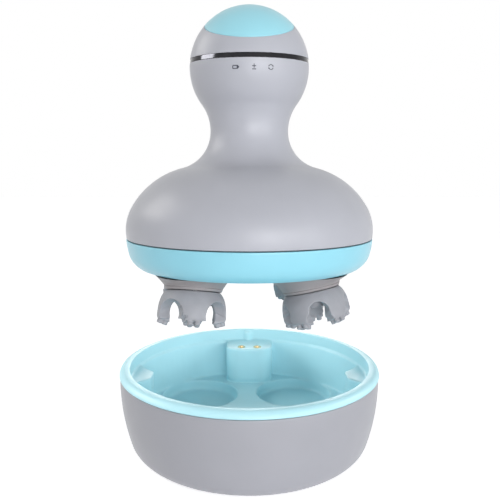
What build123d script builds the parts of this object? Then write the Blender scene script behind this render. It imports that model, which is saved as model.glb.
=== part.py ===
from build123d import *
import os
from math import acos, atan2, cos, degrees, hypot, pi, radians, sin, sqrt, tan

os.makedirs("parts", exist_ok=True)

# An electric scalp massager, lifted above the base that it charges in.
# Millimetres. The origin is at the centre of the base's feet, +Z points up and -Y is the front.
# Heights named rise or drop are counted from the seam between the massager's dome and its ring.

# Charging base
foot_height = 0.8
foot_radius = 6.0
foot_seat = 0.4
cup_radius = 59.95
cup_height = 35.75
cup_widest = 33.3
cup_side_arc = 93.3
cup_corner_arc = 8.8
cup_wall = 1.9
rim_overhang = 0.3
rim_width = 4.75
rim_height = 3.15
rim_round = 2.4
rim_groove = 0.4
step_depth = 6.1
step_width = 1.0
cavity_draft = 1.4
liner_wall = 1.35
floor_rise = 5.5
dish_depth = 24.7
dish_round = 1.5
ledge_length = 8.9
ledge_offset = -2.6
ledge_tip_width = 9.0
ledge_tip_round = 3.0
ledge_neck_inset = 4.1
ledge_neck_width = 18.4
ledge_neck_round = 2.5
ledge_root_inset = 1.9
ledge_root_width = 26.0
block_half_width = 12.6
block_depth = 17.5
block_corner = 7.6
block_foot_round = 2.5
block_roof = 1.8
bay_half_width = 8.0
key_radius = 1.8
key_offset = -0.8
key_height = 5.5
base_screw_circle = 33.0
base_post_radius = 3.0

# Charging contacts, board and socket
pin_spacing = 8.66
pin_inset = 4.3
pin_radius = 1.0
pin_lift = 0.8
pin_travel = 0.7
pin_length = 4.4
barrel_radius = 1.6
barrel_flange = 2.1
barrel_length = 6.0
spring_wire = 0.25
board_thickness = 1.6
board_height = 22.2
socket_width = 9.0
socket_height = 3.2
socket_length = 9.4
socket_mouth_width = 8.3
socket_mouth_height = 2.5
socket_depth = 6.0
socket_setback = 0.6

# Massager body, a chain of arcs that touch one another
lift = 52.5
dock_gap = 0.35
head_radius = 26.35
head_rise = 74.62
neck_radius = 17.42
neck_rise = 47.39
neck_arc = 16.9
shoulder_arc = 36.95
rim_arc = 21.33
dome_radius = 55.64
dome_widest_rise = 3.33
shell_wall = 2.2
ring_drop = 12.93
ring_radius = 55.55
ring_waist_radius = 54.6
ring_waist_drop = 6.5
ring_foot_radius = 49.96
ring_lean = 3.4
ring_lip = 1.75
ring_shelf = 1.2
seam_gap = 0.44
seam_inset = 0.3
band_rise = 2.7
band_tilt = 3.9
band_width = 2.0
band_inset = 0.12
button_tilt = 25.6
button_radius = 19.05
button_gap = 0.2
button_wall = 1.8
button_skirt = 1.6
button_travel = 0.6
edge_round = 0.3

# Gear train and cranks
tooth_angle = 20.0
backlash = 0.14
coarse_module = 0.8
sun_teeth = 44
output_teeth = 41
fine_module = 0.5
wheel_teeth = 48
pinion_teeth = 12
idler_azimuth = 45.0
output_width = 5.0
fine_width = 3.0
gear_spacing = 1.5
gear_lift = 0.5
sun_axle_radius = 2.0
idler_axle_radius = 1.5
motor_shaft_radius = 1.0
running_clearance = 0.05
motor_radius = 12.0
motor_length = 26.0
motor_boss_radius = 5.0
motor_cap_radius = 4.0
motor_cap_height = 0.9
shaft_reach = 13.5
gearbox_radius = 51.0
gearbox_thickness = 2.5
motor_plate_drop = 15.5
motor_plate_thickness = 2.0
motor_plate_radius = 29.0
post_circle = 25.0
post_radius = 3.0
crank_radius = 3.0
bush_wall = 1.85
bush_length = 10.0
lean = 14.5
pivot_drop = 14.0
knuckle_radius = 3.6
shoulder_length = 6.5
claw_pin_radius = 2.5
claw_pin_length = 5.6

# Claws and boots, measured down the leaning axis from the pivot
claw_count = 4
first_azimuth = 227.5
lean_azimuths = (255.0, 328.0, 15.0, 170.0)
finger_azimuths = (280.0, 306.0, 60.0, 120.0)
finger_counts = (4, 5, 4, 5)
claw_top = 6.8
claw_top_radius = 11.4
claw_widest = 17.2
claw_widest_radius = 14.4
claw_foot = 18.5
claw_foot_radius = 14.1
claw_roof = 3.2
finger_thickness = 4.6
finger_slope = 18.0
claw_hub_radius = 5.2
claw_hub_floor = 0.9
claw_bore_gap = 0.5
crown_spread = 70.0
arch_top = 11.0
finger_tip_width = 5.8
nub_radius = 1.05
nub_height = 1.5
nub_pitch = 2.9
nub_row_pitch = 2.2
boot_top_radius = 16.4
boot_middle_radius = 13.9
boot_foot_radius = 12.1
boot_wall = 1.0
boot_bead = 1.1

# Pieces inside the neck and the head
board_radius = 13.6
neck_flange_thickness = 1.0
neck_flange_bore = 11.0
cell_radius = 9.15
cell_head_room = 2.6
cell_cap_height = 1.0
cradle_wall = 1.5
cradle_floor = 1.2
cradle_step = 5.0
sign_places = (-6.1, 2.1, 9.4)
sign_rise = 70.6
light_guide_radius = 1.0
indicator_inset = 6.85
indicator_height = 4.6
switch_drop = 3.8
seat_thickness = 1.2
bracket_thickness = 1.5
switch_board_radius = 12.0
switch_size = 6.0
switch_height = 3.1
plunger_radius = 1.7
plunger_height = 1.0

# Screws
screw_radius = 1.2
screw_head_radius = 2.4
screw_head_height = 1.6
small_screw_radius = 0.7
small_head_radius = 0.9
small_head_height = 0.6
plate_screw_circle = 20.0
case_screw_circle = 45.0
case_screw_reach = 9.5
case_boss_radius = 3.4
case_boss_height = 20.0
post_screw_reach = 7.5
screw_tip_gap = 0.5
plate_thickness = 2.0
plate_setback = 0.33
plate_ledge = 1.2
plate_ledge_rise = 0.93
pad_radius = 2.2
pad_setback = 0.3
fit_gap = 0.1
running_gap = 0.3

# Heights and places that follow
rim_radius = cup_radius + rim_overhang
lip_radius = rim_radius - rim_width
cavity_radius = lip_radius - step_width
cavity_foot_radius = cavity_radius - cavity_draft
ledge_reach = cavity_radius - ledge_length
ledge_neck_reach = cavity_radius - ledge_neck_inset
ledge_root_reach = cavity_radius - ledge_root_inset
block_front = cavity_radius - block_depth
pin_row = block_front + pin_inset
cup_bottom = foot_height
cup_top = cup_bottom + cup_height
rim_top = cup_top + rim_height
step_z = rim_top - step_depth
dish_z = step_z - dish_depth
floor_z = dish_z + floor_rise
liner_bottom = dish_z - liner_wall
seam_z = step_z + dock_gap + ring_drop + lift
ring_bottom = seam_z - ring_drop
head_z = seam_z + head_rise
crank_circle = coarse_module * (sun_teeth + output_teeth) / 2
dish_radius = cavity_foot_radius - crank_circle - 0.05
idler_distance = fine_module * (wheel_teeth + pinion_teeth) / 2
claw_azimuths = [first_azimuth + 360 * index / claw_count for index in range(claw_count)]
gear_z = seam_z + gear_lift
upper_gear_z = gear_z + output_width + gear_spacing
top_gear_z = upper_gear_z + fine_width + gear_spacing
motor_plate_z = seam_z + motor_plate_drop
plate_bottom = ring_bottom + plate_setback
plate_top = plate_bottom + plate_thickness
button_edge = sqrt(head_radius**2 - button_radius**2)
switch_seat = button_edge - switch_drop
indicator_depth = head_radius - indicator_inset


def save(piece, name):
    piece.part.label = name
    export_step(piece.part, f"parts/{name}.step")


def at_angle(centre, radius, angle):
    return (centre[0] + radius * cos(radians(angle)), centre[1] + radius * sin(radians(angle)))


def bearing(start, end):
    return degrees(atan2(end[1] - start[1], end[0] - start[0]))


def arc(centre, radius, start_angle, end_angle):
    middle = (start_angle + end_angle) / 2
    angles = (start_angle, middle, end_angle)
    return ThreePointArc(*[at_angle(centre, radius, angle) for angle in angles])


def side_plane(frame):
    return Plane(frame.origin, x_dir=frame.x_dir, z_dir=-frame.y_dir)


def axis_of(frame):
    return Axis(frame.origin, frame.z_dir)


def disc(frame, radius, low, high, bore=0, mode=Mode.ADD):
    with BuildSketch(frame.offset(low)) as face:
        Circle(radius)
        if bore:
            Circle(bore, mode=Mode.SUBTRACT)
    extrude(face.sketch, amount=high - low, dir=frame.z_dir, mode=mode)


def sphere_zone(frame, outer, inner, low, high, mode=Mode.ADD):
    with BuildSketch(side_plane(frame)) as face:
        Circle(outer)
        Circle(inner, mode=Mode.SUBTRACT)
        with Locations((outer / 2, (low + high) / 2)):
            Rectangle(outer, high - low, mode=Mode.INTERSECT)
    revolve(face.sketch, axis=axis_of(frame), mode=mode)


# The massager's outline: five arcs, each tangent to the next
head_centre = (0, head_z)
upper_neck_arc = (head_radius**2 - neck_radius**2 - (head_rise - neck_rise) ** 2) / (2 * (neck_radius - head_radius))
upper_neck_centre = (neck_radius + upper_neck_arc, seam_z + neck_rise)
lower_neck_centre = (neck_radius + neck_arc, seam_z + neck_rise)
rim_centre = (dome_radius - rim_arc, seam_z + dome_widest_rise)
neck_to_rim = hypot(lower_neck_centre[0] - rim_centre[0], lower_neck_centre[1] - rim_centre[1])
shoulder_reach = shoulder_arc - rim_arc
shoulder_bearing = bearing(rim_centre, lower_neck_centre) + degrees(
    acos((shoulder_reach**2 + neck_to_rim**2 - (neck_arc + shoulder_arc) ** 2) / (2 * shoulder_reach * neck_to_rim))
)
shoulder_centre = at_angle(rim_centre, shoulder_reach, shoulder_bearing)


def massager_solid(inset, low_z, mode=Mode.ADD):
    head_angle = bearing(head_centre, upper_neck_centre)
    shoulder_angle = bearing(shoulder_centre, lower_neck_centre)
    rim_angle = bearing(shoulder_centre, rim_centre)
    low_angle = degrees(atan2(low_z - rim_centre[1], sqrt((rim_arc - inset) ** 2 - (low_z - rim_centre[1]) ** 2)))
    with BuildSketch(Plane.XZ) as face:
        with BuildLine():
            arc(head_centre, head_radius - inset, 90, head_angle)
            arc(upper_neck_centre, upper_neck_arc + inset, head_angle + 180, 180)
            arc(lower_neck_centre, neck_arc + inset, 180, shoulder_angle + 180)
            arc(shoulder_centre, shoulder_arc - inset, shoulder_angle, rim_angle)
            foot = arc(rim_centre, rim_arc - inset, rim_angle, low_angle)
            Line(foot @ 1, (0, low_z))
            Line((0, low_z), (0, head_z + head_radius - inset))
        make_face()
    revolve(face.sketch, axis=Axis.Z, mode=mode)


def dome_radius_at(z, inset=0):
    return rim_centre[0] + sqrt((rim_arc - inset) ** 2 - (z - rim_centre[1]) ** 2)


def screw(frame, tip, seat, shank=screw_radius, head=screw_head_radius, head_height=screw_head_height):
    disc(frame, shank, tip, seat)
    disc(frame, head, seat, seat + head_height)


def tooth_half_angle(radius, teeth, module):
    pitch_radius = teeth * module / 2
    base_radius = pitch_radius * cos(radians(tooth_angle))
    pressure = acos(min(1, base_radius / radius))
    at_pitch = tan(radians(tooth_angle)) - radians(tooth_angle)
    return pi / (2 * teeth) - backlash / (4 * pitch_radius) + at_pitch - (tan(pressure) - pressure)


def gear(plane, teeth, module, width, bore, turn=0):
    pitch_radius = teeth * module / 2
    radii = [pitch_radius + step * module for step in (-1.2, -0.6, -0.1, 0.4, 0.85)]
    points = []
    for tooth in range(teeth):
        middle = radians(turn) + 2 * pi * tooth / teeth
        flank = [(radius, tooth_half_angle(radius, teeth, module)) for radius in radii]
        points += [(radius * cos(middle - half), radius * sin(middle - half)) for radius, half in flank]
        points += [(radius * cos(middle + half), radius * sin(middle + half)) for radius, half in flank[::-1]]
    with BuildSketch(plane) as face:
        with BuildLine():
            Polyline(*points, close=True)
        make_face()
        if bore:
            Circle(bore, mode=Mode.SUBTRACT)
    extrude(face.sketch, amount=width, dir=plane.z_dir)


# Frames of the pieces that don't stand on the main axis
button_frame = Plane((0, 0, head_z), x_dir=(1, 0, 0), z_dir=(0, -sin(radians(button_tilt)), cos(radians(button_tilt))))
band_frame = Plane((0, 0, head_z), x_dir=(1, 0, 0), z_dir=(0, -sin(radians(band_tilt)), cos(radians(band_tilt))))
band_low = band_rise - band_width / 2
band_high = band_rise + band_width / 2


def crank_place(azimuth):
    return (crank_circle * cos(radians(azimuth)), crank_circle * sin(radians(azimuth)))


def leaning_frame(azimuth, lean_azimuth, share=1.0):
    x, y = crank_place(azimuth)
    way = radians(lean_azimuth)
    angle = radians(lean * share)
    up = (-sin(angle) * cos(way), -sin(angle) * sin(way), cos(angle))
    across = (cos(angle) * cos(way), cos(angle) * sin(way), sin(angle))
    return Plane((x, y, seam_z - pivot_drop), x_dir=across, z_dir=up)


# ---- Charging base ----

cup_arc_centre = (cup_radius - cup_side_arc, cup_bottom + cup_widest)
cup_corner_centre = (
    cup_arc_centre[0] + sqrt((cup_side_arc - cup_corner_arc) ** 2 - (cup_corner_arc - cup_widest) ** 2),
    cup_bottom + cup_corner_arc,
)
cup_corner_bearing = bearing(cup_arc_centre, cup_corner_centre)


def cup_radius_at(z, inset=0):
    return cup_arc_centre[0] + sqrt((cup_side_arc - inset) ** 2 - (z - cup_arc_centre[1]) ** 2)


def cup_solid(inset, mode=Mode.ADD):
    top_angle = degrees(atan2(cup_top - cup_arc_centre[1], cup_radius_at(cup_top, inset) - cup_arc_centre[0]))
    with BuildSketch(Plane.XZ) as face:
        with BuildLine():
            side = arc(cup_arc_centre, cup_side_arc - inset, top_angle, cup_corner_bearing)
            corner = arc(cup_corner_centre, cup_corner_arc - inset, cup_corner_bearing, -90)
            Polyline(corner @ 1, (0, cup_bottom + inset), (0, cup_top), side @ 0)
        make_face()
    revolve(face.sketch, axis=Axis.Z, mode=mode)


base_screw_seat = cup_bottom + foot_seat + screw_head_height + 0.4
shell_pad_top = base_screw_seat + 1.6
socket_z = board_height + board_thickness
socket_mouth_y = cup_radius_at(socket_z) - socket_setback

with BuildPart() as base_shell:
    cup_solid(0)
    cup_solid(cup_wall, mode=Mode.SUBTRACT)
    with BuildSketch(Plane.XY.offset(cup_bottom + cup_wall)):
        with PolarLocations(base_screw_circle, 4):
            Circle(2 * base_post_radius)
    extrude(amount=shell_pad_top - cup_bottom - cup_wall)
    with BuildSketch(Plane.XY.offset(cup_bottom)):
        with PolarLocations(base_screw_circle, 4):
            Circle(foot_radius)
    extrude(amount=foot_seat, mode=Mode.SUBTRACT)
    with BuildSketch(Plane.XY.offset(cup_bottom)):
        with PolarLocations(base_screw_circle, 4):
            Circle(screw_head_radius + fit_gap)
    extrude(amount=base_screw_seat - cup_bottom, mode=Mode.SUBTRACT)
    with BuildSketch(Plane.XY.offset(cup_bottom)):
        with PolarLocations(base_screw_circle, 4):
            Circle(screw_radius + fit_gap)
    extrude(amount=shell_pad_top - cup_bottom, mode=Mode.SUBTRACT)
    with BuildSketch(Plane.XZ.offset(-cup_radius)):
        with Locations((0, socket_z + socket_height / 2)):
            RectangleRounded(socket_width + 6 * fit_gap, socket_height + 4 * fit_gap, socket_height / 2)
    extrude(amount=4 * cup_wall, mode=Mode.SUBTRACT)
save(base_shell, "base_shell")

# The liner is one moulding: rim, lip, cavity wall, floor with dishes, ledges and the contact block.
skirt_radius = cup_radius_at(step_z, cup_wall) - fit_gap
liner_foot_radius = cavity_foot_radius + liner_wall
liner_chamfer = 1.5 * liner_wall

with BuildPart() as liner_envelope:
    with BuildSketch(Plane.XZ):
        with BuildLine():
            Polyline(
                (0, liner_bottom),
                (liner_foot_radius - liner_chamfer, liner_bottom),
                (liner_foot_radius, liner_bottom + liner_chamfer),
                (cavity_radius + liner_wall, step_z - liner_wall),
                (cavity_radius + liner_wall, step_z),
                (0, step_z),
                close=True,
            )
        make_face()
    revolve(axis=Axis.Z)

with BuildPart() as dishes:
    with BuildSketch(Plane.XY.offset(dish_z)):
        with PolarLocations(crank_circle, claw_count, start_angle=first_azimuth):
            Circle(dish_radius)
    extrude(amount=floor_rise + 1)
    fillet(dishes.edges().group_by(Axis.Z)[0], dish_round)

with BuildPart() as dish_walls:
    with BuildSketch(Plane.XY.offset(liner_bottom)):
        with PolarLocations(crank_circle, claw_count, start_angle=first_azimuth):
            Circle(dish_radius + liner_wall)
    extrude(amount=floor_z - liner_bottom)
    add(liner_envelope.part, mode=Mode.INTERSECT)

with BuildPart() as ledges:
    with BuildSketch(Plane.XY.offset(floor_z - liner_wall)):
        half_outline = (
            (ledge_reach, ledge_tip_width / 2),
            (ledge_neck_reach, ledge_neck_width / 2),
            (ledge_root_reach, ledge_root_width / 2),
            (rim_radius, ledge_root_width / 2),
        )
        with BuildLine():
            right_side = [(x, ledge_offset + y) for x, y in half_outline]
            left_side = [(x, ledge_offset - y) for x, y in half_outline[::-1]]
            Polyline(*right_side, *left_side, close=True)
        make_face()
        fillet(vertices().group_by(Axis.X)[0], ledge_tip_round)
        fillet(vertices().filter_by(lambda corner: abs(corner.X - ledge_neck_reach) < 0.01), ledge_neck_round)
        mirror(about=Plane.YZ)
    extrude(amount=step_z - floor_z + liner_wall)
    add(liner_envelope.part, mode=Mode.INTERSECT)

with BuildPart() as block:
    with BuildSketch(Plane.XY.offset(floor_z)):
        with Locations((0, (block_front + rim_radius) / 2)):
            Rectangle(2 * block_half_width, rim_radius - block_front)
    extrude(amount=step_z - floor_z)
    front_corners = block.edges().filter_by(Axis.Z).group_by(Axis.Y)[0]
    fillet(front_corners, block_corner)
    foot_edges = block.edges().group_by(Axis.Z)[0].filter_by(lambda edge: edge.center().Y < rim_radius - 1)
    fillet(foot_edges, block_foot_round)
    with BuildSketch(Plane.XY.offset(liner_bottom)):
        with Locations((0, (block_front + rim_radius) / 2)):
            Rectangle(2 * (bay_half_width + liner_wall), rim_radius - block_front - 2 * block_foot_round)
    extrude(amount=floor_z - liner_bottom + 2 * block_foot_round)
    add(liner_envelope.part, mode=Mode.INTERSECT)

with BuildPart() as base_liner:
    with BuildSketch(Plane.XZ):
        with BuildLine():
            rim_foot = (cup_radius - cup_wall / 2, cup_top)
            under_rim = (rim_radius, cup_top + rim_groove)
            Polyline(
                (0, liner_bottom),
                (liner_foot_radius - liner_chamfer, liner_bottom),
                (liner_foot_radius, liner_bottom + liner_chamfer),
                (cavity_radius + liner_wall, step_z - liner_wall),
                (skirt_radius, step_z - liner_wall / 2),
                (skirt_radius, cup_top),
                rim_foot,
                under_rim,
            )
            rim_bend = TangentArc(under_rim, (rim_radius - rim_round, rim_top), tangent=(0, 1))
            inner_rim = (lip_radius + edge_round, rim_top)
            Line(rim_bend @ 1, inner_rim)
            Polyline(
                inner_rim,
                (lip_radius, rim_top - edge_round),
                (lip_radius, step_z),
                (cavity_radius, step_z),
                (cavity_foot_radius, floor_z),
                (0, floor_z),
                (0, liner_bottom),
            )
        make_face()
    revolve(axis=Axis.Z)
    disc(Plane.XY, cavity_foot_radius, liner_bottom, floor_z - liner_wall, mode=Mode.SUBTRACT)
    add(dish_walls.part)
    add(ledges.part)
    add(block.part)
    with BuildSketch(Plane.XY.offset(shell_pad_top)):
        with PolarLocations(base_screw_circle, 4):
            Circle(base_post_radius)
    extrude(amount=floor_z - liner_wall / 2 - shell_pad_top)
    with BuildSketch(Plane.XY.offset(step_z)):
        with Locations((key_offset, lip_radius)):
            Circle(key_radius)
    extrude(amount=key_height - key_radius)
    with Locations((key_offset, lip_radius, step_z + key_height - key_radius)):
        Sphere(key_radius)
    add(dishes.part, mode=Mode.SUBTRACT)
    # The bay behind the contacts is open below and towards the cup's wall.
    with BuildSketch(Plane.XY.offset(liner_bottom)):
        with Locations((0, block_front + block_roof + (skirt_radius - block_front) / 2)):
            Rectangle(2 * bay_half_width, skirt_radius - block_front)
    extrude(amount=step_z - block_roof - liner_bottom, mode=Mode.SUBTRACT)
    with BuildSketch(Plane.XY.offset(step_z - block_roof)):
        with Locations((-pin_spacing / 2, pin_row), (pin_spacing / 2, pin_row)):
            Circle(barrel_radius)
    extrude(amount=block_roof, mode=Mode.SUBTRACT)
    with BuildSketch(Plane.XY.offset(shell_pad_top)):
        with PolarLocations(base_screw_circle, 4):
            Circle(screw_radius)
    extrude(amount=floor_z - 2 * liner_wall - shell_pad_top, mode=Mode.SUBTRACT)
save(base_liner, "base_liner")

with BuildPart() as base_feet:
    with BuildSketch(Plane.XY):
        with PolarLocations(base_screw_circle, 4):
            Circle(foot_radius - fit_gap)
    extrude(amount=foot_height + foot_seat)
    chamfer(base_feet.edges().group_by(Axis.Z)[0], foot_seat)
save(base_feet, "base_feet")

with BuildPart() as base_screws:
    for angle in range(0, 360, 90):
        x, y = at_angle((0, 0), base_screw_circle, angle)
        screw(
            Plane((x, y, 0), z_dir=(0, 0, -1)),
            -floor_z + 2 * liner_wall + 0.5,
            -base_screw_seat,
        )
save(base_screws, "base_screws")

# Charging board, its socket and the sprung contacts
housing_front = block_front + block_roof + 0.4
housing_length = 10.0
housing_screw_row = pin_row + 5.2
board_back = cup_radius_at(board_height, cup_wall) - 1.0
bay_roof = step_z - block_roof

with BuildPart() as charging_board:
    with BuildSketch(Plane.XY.offset(board_height)):
        with Locations((0, (housing_front + board_back) / 2)):
            Rectangle(2 * (bay_half_width - 0.4), board_back - housing_front)
        with Locations((-pin_spacing / 2, housing_screw_row), (pin_spacing / 2, housing_screw_row)):
            Circle(small_screw_radius + fit_gap, mode=Mode.SUBTRACT)
    extrude(amount=board_thickness)
save(charging_board, "charging_board")

with BuildPart() as contact_housing:
    with BuildSketch(Plane.XY.offset(socket_z)):
        with Locations((0, housing_front + housing_length / 2)):
            Rectangle(2 * (bay_half_width - 1.2), housing_length)
        with Locations((-pin_spacing / 2, pin_row), (pin_spacing / 2, pin_row)):
            Circle(barrel_radius, mode=Mode.SUBTRACT)
        with Locations((-pin_spacing / 2, housing_screw_row), (pin_spacing / 2, housing_screw_row)):
            Circle(small_screw_radius, mode=Mode.SUBTRACT)
    extrude(amount=bay_roof - socket_z)
save(contact_housing, "contact_housing")

with BuildPart() as board_screws:
    for side in (-1, 1):
        screw(
            Plane((side * pin_spacing / 2, housing_screw_row, 0), z_dir=(0, 0, -1)),
            -bay_roof + 1.0,
            -board_height,
            small_screw_radius,
            small_head_radius,
            small_head_height,
        )
save(board_screws, "board_screws")

with BuildPart() as charge_socket:
    with BuildSketch(Plane.XZ.offset(-socket_mouth_y)):
        with Locations((0, socket_z + socket_height / 2)):
            RectangleRounded(socket_width, socket_height, socket_height / 2 - 0.05)
    extrude(amount=socket_length)
    with BuildSketch(Plane.XZ.offset(-socket_mouth_y)):
        with Locations((0, socket_z + socket_height / 2)):
            RectangleRounded(socket_mouth_width, socket_mouth_height, socket_mouth_height / 2 - 0.05)
    extrude(amount=socket_depth, mode=Mode.SUBTRACT)
    with BuildSketch(Plane.XZ.offset(-socket_mouth_y + 1)):
        with Locations((0, socket_z + socket_height / 2)):
            Rectangle(socket_mouth_width * 0.8, socket_mouth_height * 0.28)
    extrude(amount=socket_depth)
save(charge_socket, "charge_socket")

barrel_top = step_z + 0.25
barrel_bottom = step_z - barrel_length
barrel_floor = 0.5

with BuildPart() as contact_barrels:
    for side in (-1, 1):
        frame = Plane((side * pin_spacing / 2, pin_row, 0))
        disc(frame, barrel_radius, barrel_bottom, step_z)
        disc(frame, barrel_flange, step_z, barrel_top)
        disc(frame, pin_radius + running_clearance, barrel_bottom + barrel_floor, barrel_top, mode=Mode.SUBTRACT)
save(contact_barrels, "contact_barrels")

pin_top = step_z + pin_lift
pin_bottom = pin_top - pin_length

for side, name in ((-1, "left"), (1, "right")):
    frame = Plane((side * pin_spacing / 2, pin_row, 0))
    with BuildPart() as contact_pin:
        disc(frame, pin_radius, pin_bottom, pin_top)
        fillet(contact_pin.edges().group_by(Axis.Z)[-1], pin_radius * 0.45)
    save(contact_pin, f"contact_pin_{name}")
    spring_height = pin_bottom - barrel_bottom - barrel_floor - spring_wire
    coil_radius = pin_radius - spring_wire / 2 - running_clearance
    with BuildPart() as contact_spring:
        with BuildLine(Plane((side * pin_spacing / 2, pin_row, barrel_bottom + barrel_floor + spring_wire / 2))) as coil:
            Helix(pitch=spring_height / 3, height=spring_height, radius=coil_radius)
        with BuildSketch(Plane(coil.line @ 0, z_dir=coil.line % 0)):
            Circle(spring_wire / 2)
        sweep(path=coil.line)
    save(contact_spring, f"contact_spring_{name}")

# ---- Massager: shell, ring and plates ----

seam_low = seam_z - seam_gap / 2
seam_high = seam_z + seam_gap / 2
spigot_radius = dome_radius_at(seam_z, shell_wall) - fit_gap
spigot_wall = 1.7
spigot_height = 2.0
inner_ring_radius = spigot_radius - spigot_wall
gearbox_bottom = seam_z - gearbox_thickness
neck_flange_z = seam_z + motor_plate_drop + motor_plate_thickness + motor_length + motor_cap_height + 4 * fit_gap
neck_board_z = neck_flange_z + neck_flange_thickness
cradle_z = neck_board_z + board_thickness
cell_z = cradle_z + cradle_floor
neck_screw_circle = 12.5

with BuildPart() as shell_fill:
    with BuildSketch(Plane.XY.offset(seam_z)):
        with PolarLocations(case_screw_circle, 4):
            Circle(case_boss_radius)
    extrude(amount=case_boss_height)
    disc(Plane.XY, neck_radius + 4, neck_flange_z, neck_board_z, bore=neck_flange_bore)
    massager_solid(shell_wall / 2, seam_z, mode=Mode.INTERSECT)

with BuildPart() as main_shell:
    massager_solid(0, seam_high)
    massager_solid(shell_wall, seam_high, mode=Mode.SUBTRACT)
    add(shell_fill.part)
    with BuildSketch(Plane.XY.offset(seam_z)):
        with PolarLocations(case_screw_circle, 4):
            Circle(screw_radius)
    extrude(amount=case_screw_reach + screw_tip_gap, mode=Mode.SUBTRACT)
    with BuildSketch(Plane.XY.offset(neck_flange_z)):
        with PolarLocations(neck_screw_circle, 3, start_angle=30):
            Circle(small_screw_radius)
    extrude(amount=neck_flange_thickness, mode=Mode.SUBTRACT)
    split(bisect_by=band_frame.offset(band_low), keep=Keep.BOTTOM)
save(main_shell, "main_shell")

band_skirt_low = band_low - 2.5
band_skirt_high = band_high + 0.6
band_skirt_wall = 1.6

with BuildPart() as trim_band:
    sphere_zone(band_frame, head_radius - band_inset, head_radius - shell_wall - band_skirt_wall, band_low, band_high)
    sphere_zone(
        band_frame,
        head_radius - shell_wall - running_clearance,
        head_radius - shell_wall - band_skirt_wall,
        band_skirt_low,
        band_skirt_high,
    )
save(trim_band, "trim_band")

bracket_radius = button_radius - 0.6
bracket_screw_circle = 16.9

with BuildPart() as seat_ring:
    disc(button_frame, head_radius, switch_seat - seat_thickness, switch_seat, bore=bracket_screw_circle - 1)
    with Locations((0, 0, head_z)):
        Sphere(head_radius - shell_wall / 2, mode=Mode.INTERSECT)

with BuildPart() as head_cap:
    sphere_zone(band_frame, head_radius, head_radius - shell_wall, band_high, head_radius)
    disc(button_frame, button_radius + button_gap, switch_seat, head_radius + 1, mode=Mode.SUBTRACT)
    add(seat_ring.part)
    with BuildSketch(button_frame.offset(switch_seat - seat_thickness)):
        with PolarLocations(bracket_screw_circle, 3, start_angle=90):
            Circle(small_screw_radius)
    extrude(amount=seat_thickness, mode=Mode.SUBTRACT)
save(head_cap, "head_cap")

with BuildPart() as ring_groove:
    with BuildSketch(Plane.XY.offset(ring_bottom - 1)):
        with Locations((key_offset, lip_radius)):
            Circle(key_radius + 0.5)
    extrude(amount=key_height + 2.2)

with BuildPart() as lower_ring:
    with BuildSketch(Plane.XZ):
        with BuildLine():
            top_corner = (ring_radius, seam_low)
            waist = (ring_waist_radius, seam_z - ring_waist_drop)
            foot = (ring_foot_radius, ring_bottom)
            ring_side = TangentArc(top_corner, waist, tangent=(-sin(radians(ring_lean)), -cos(radians(ring_lean))))
            TangentArc(waist, foot, tangent=ring_side % 1)
            inner_foot = ring_foot_radius - ring_lip
            shelf_radius = inner_ring_radius - ring_shelf
            Polyline(
                foot,
                (inner_foot, ring_bottom),
                (inner_foot, ring_bottom + plate_ledge_rise),
                (inner_foot + plate_ledge, ring_bottom + plate_ledge_rise),
                (shelf_radius, ring_bottom + plate_setback + plate_thickness + fit_gap),
                (shelf_radius, gearbox_bottom),
                (inner_ring_radius, gearbox_bottom),
                (inner_ring_radius, seam_z + spigot_height),
                (spigot_radius, seam_z + spigot_height),
                (spigot_radius, seam_low),
                top_corner,
            )
        make_face()
    revolve(axis=Axis.Z)
    add(ring_groove.part, mode=Mode.SUBTRACT)
save(lower_ring, "lower_ring")

with BuildPart() as seam_gasket:
    disc(Plane.XY, dome_radius_at(seam_z) - seam_inset, seam_low, seam_high, bore=spigot_radius)
save(seam_gasket, "seam_gasket")

bush_outer = crank_radius + running_clearance + bush_wall
boss_outer = bush_outer + 2.1
seal_top = seam_z - bush_length
seal_bottom = seal_top - 2.0
pad_face = plate_bottom + pad_setback
plate_radius = ring_foot_radius - ring_lip - 0.15
plate_ledge_z = ring_bottom + plate_ledge_rise

with BuildPart() as underside_plate:
    disc(Plane.XY, plate_radius, plate_bottom, plate_ledge_z)
    disc(Plane.XY, plate_radius + plate_ledge - fit_gap, plate_ledge_z, plate_top)
    with BuildSketch(Plane.XY.offset(plate_top)):
        with PolarLocations(plate_screw_circle, 4):
            Circle(base_post_radius)
    extrude(amount=gearbox_bottom - plate_top)
    with BuildSketch(Plane.XY.offset(plate_bottom)):
        with PolarLocations(crank_circle, claw_count, start_angle=first_azimuth):
            Circle(boss_outer + fit_gap)
        with PolarLocations(plate_screw_circle, 4):
            Circle(screw_radius + fit_gap)
        with Locations((-pin_spacing / 2, pin_row), (pin_spacing / 2, pin_row)):
            Circle(pad_radius)
    extrude(amount=gearbox_bottom - plate_bottom, mode=Mode.SUBTRACT)
    with BuildSketch(Plane.XY.offset(plate_bottom)):
        with PolarLocations(plate_screw_circle, 4):
            Circle(screw_head_radius + fit_gap)
    extrude(amount=screw_head_height, mode=Mode.SUBTRACT)
save(underside_plate, "underside_plate")

with BuildPart() as charge_pads:
    with BuildSketch(Plane.XY.offset(pad_face)):
        with Locations((-pin_spacing / 2, pin_row), (pin_spacing / 2, pin_row)):
            Circle(pad_radius)
    extrude(amount=plate_top - pad_face)
    with BuildSketch(Plane.XY.offset(plate_top)):
        with Locations((-pin_spacing / 2, pin_row), (pin_spacing / 2, pin_row)):
            Circle(pad_radius + 0.8)
    extrude(amount=0.6)
save(charge_pads, "charge_pads")

with BuildPart() as plate_screws:
    for angle in range(0, 360, 90):
        x, y = at_angle((0, 0), plate_screw_circle, angle)
        screw(Plane((x, y, 0), z_dir=(0, 0, -1)), -seam_z + 0.3, -plate_bottom - screw_head_height)
save(plate_screws, "plate_screws")

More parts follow.
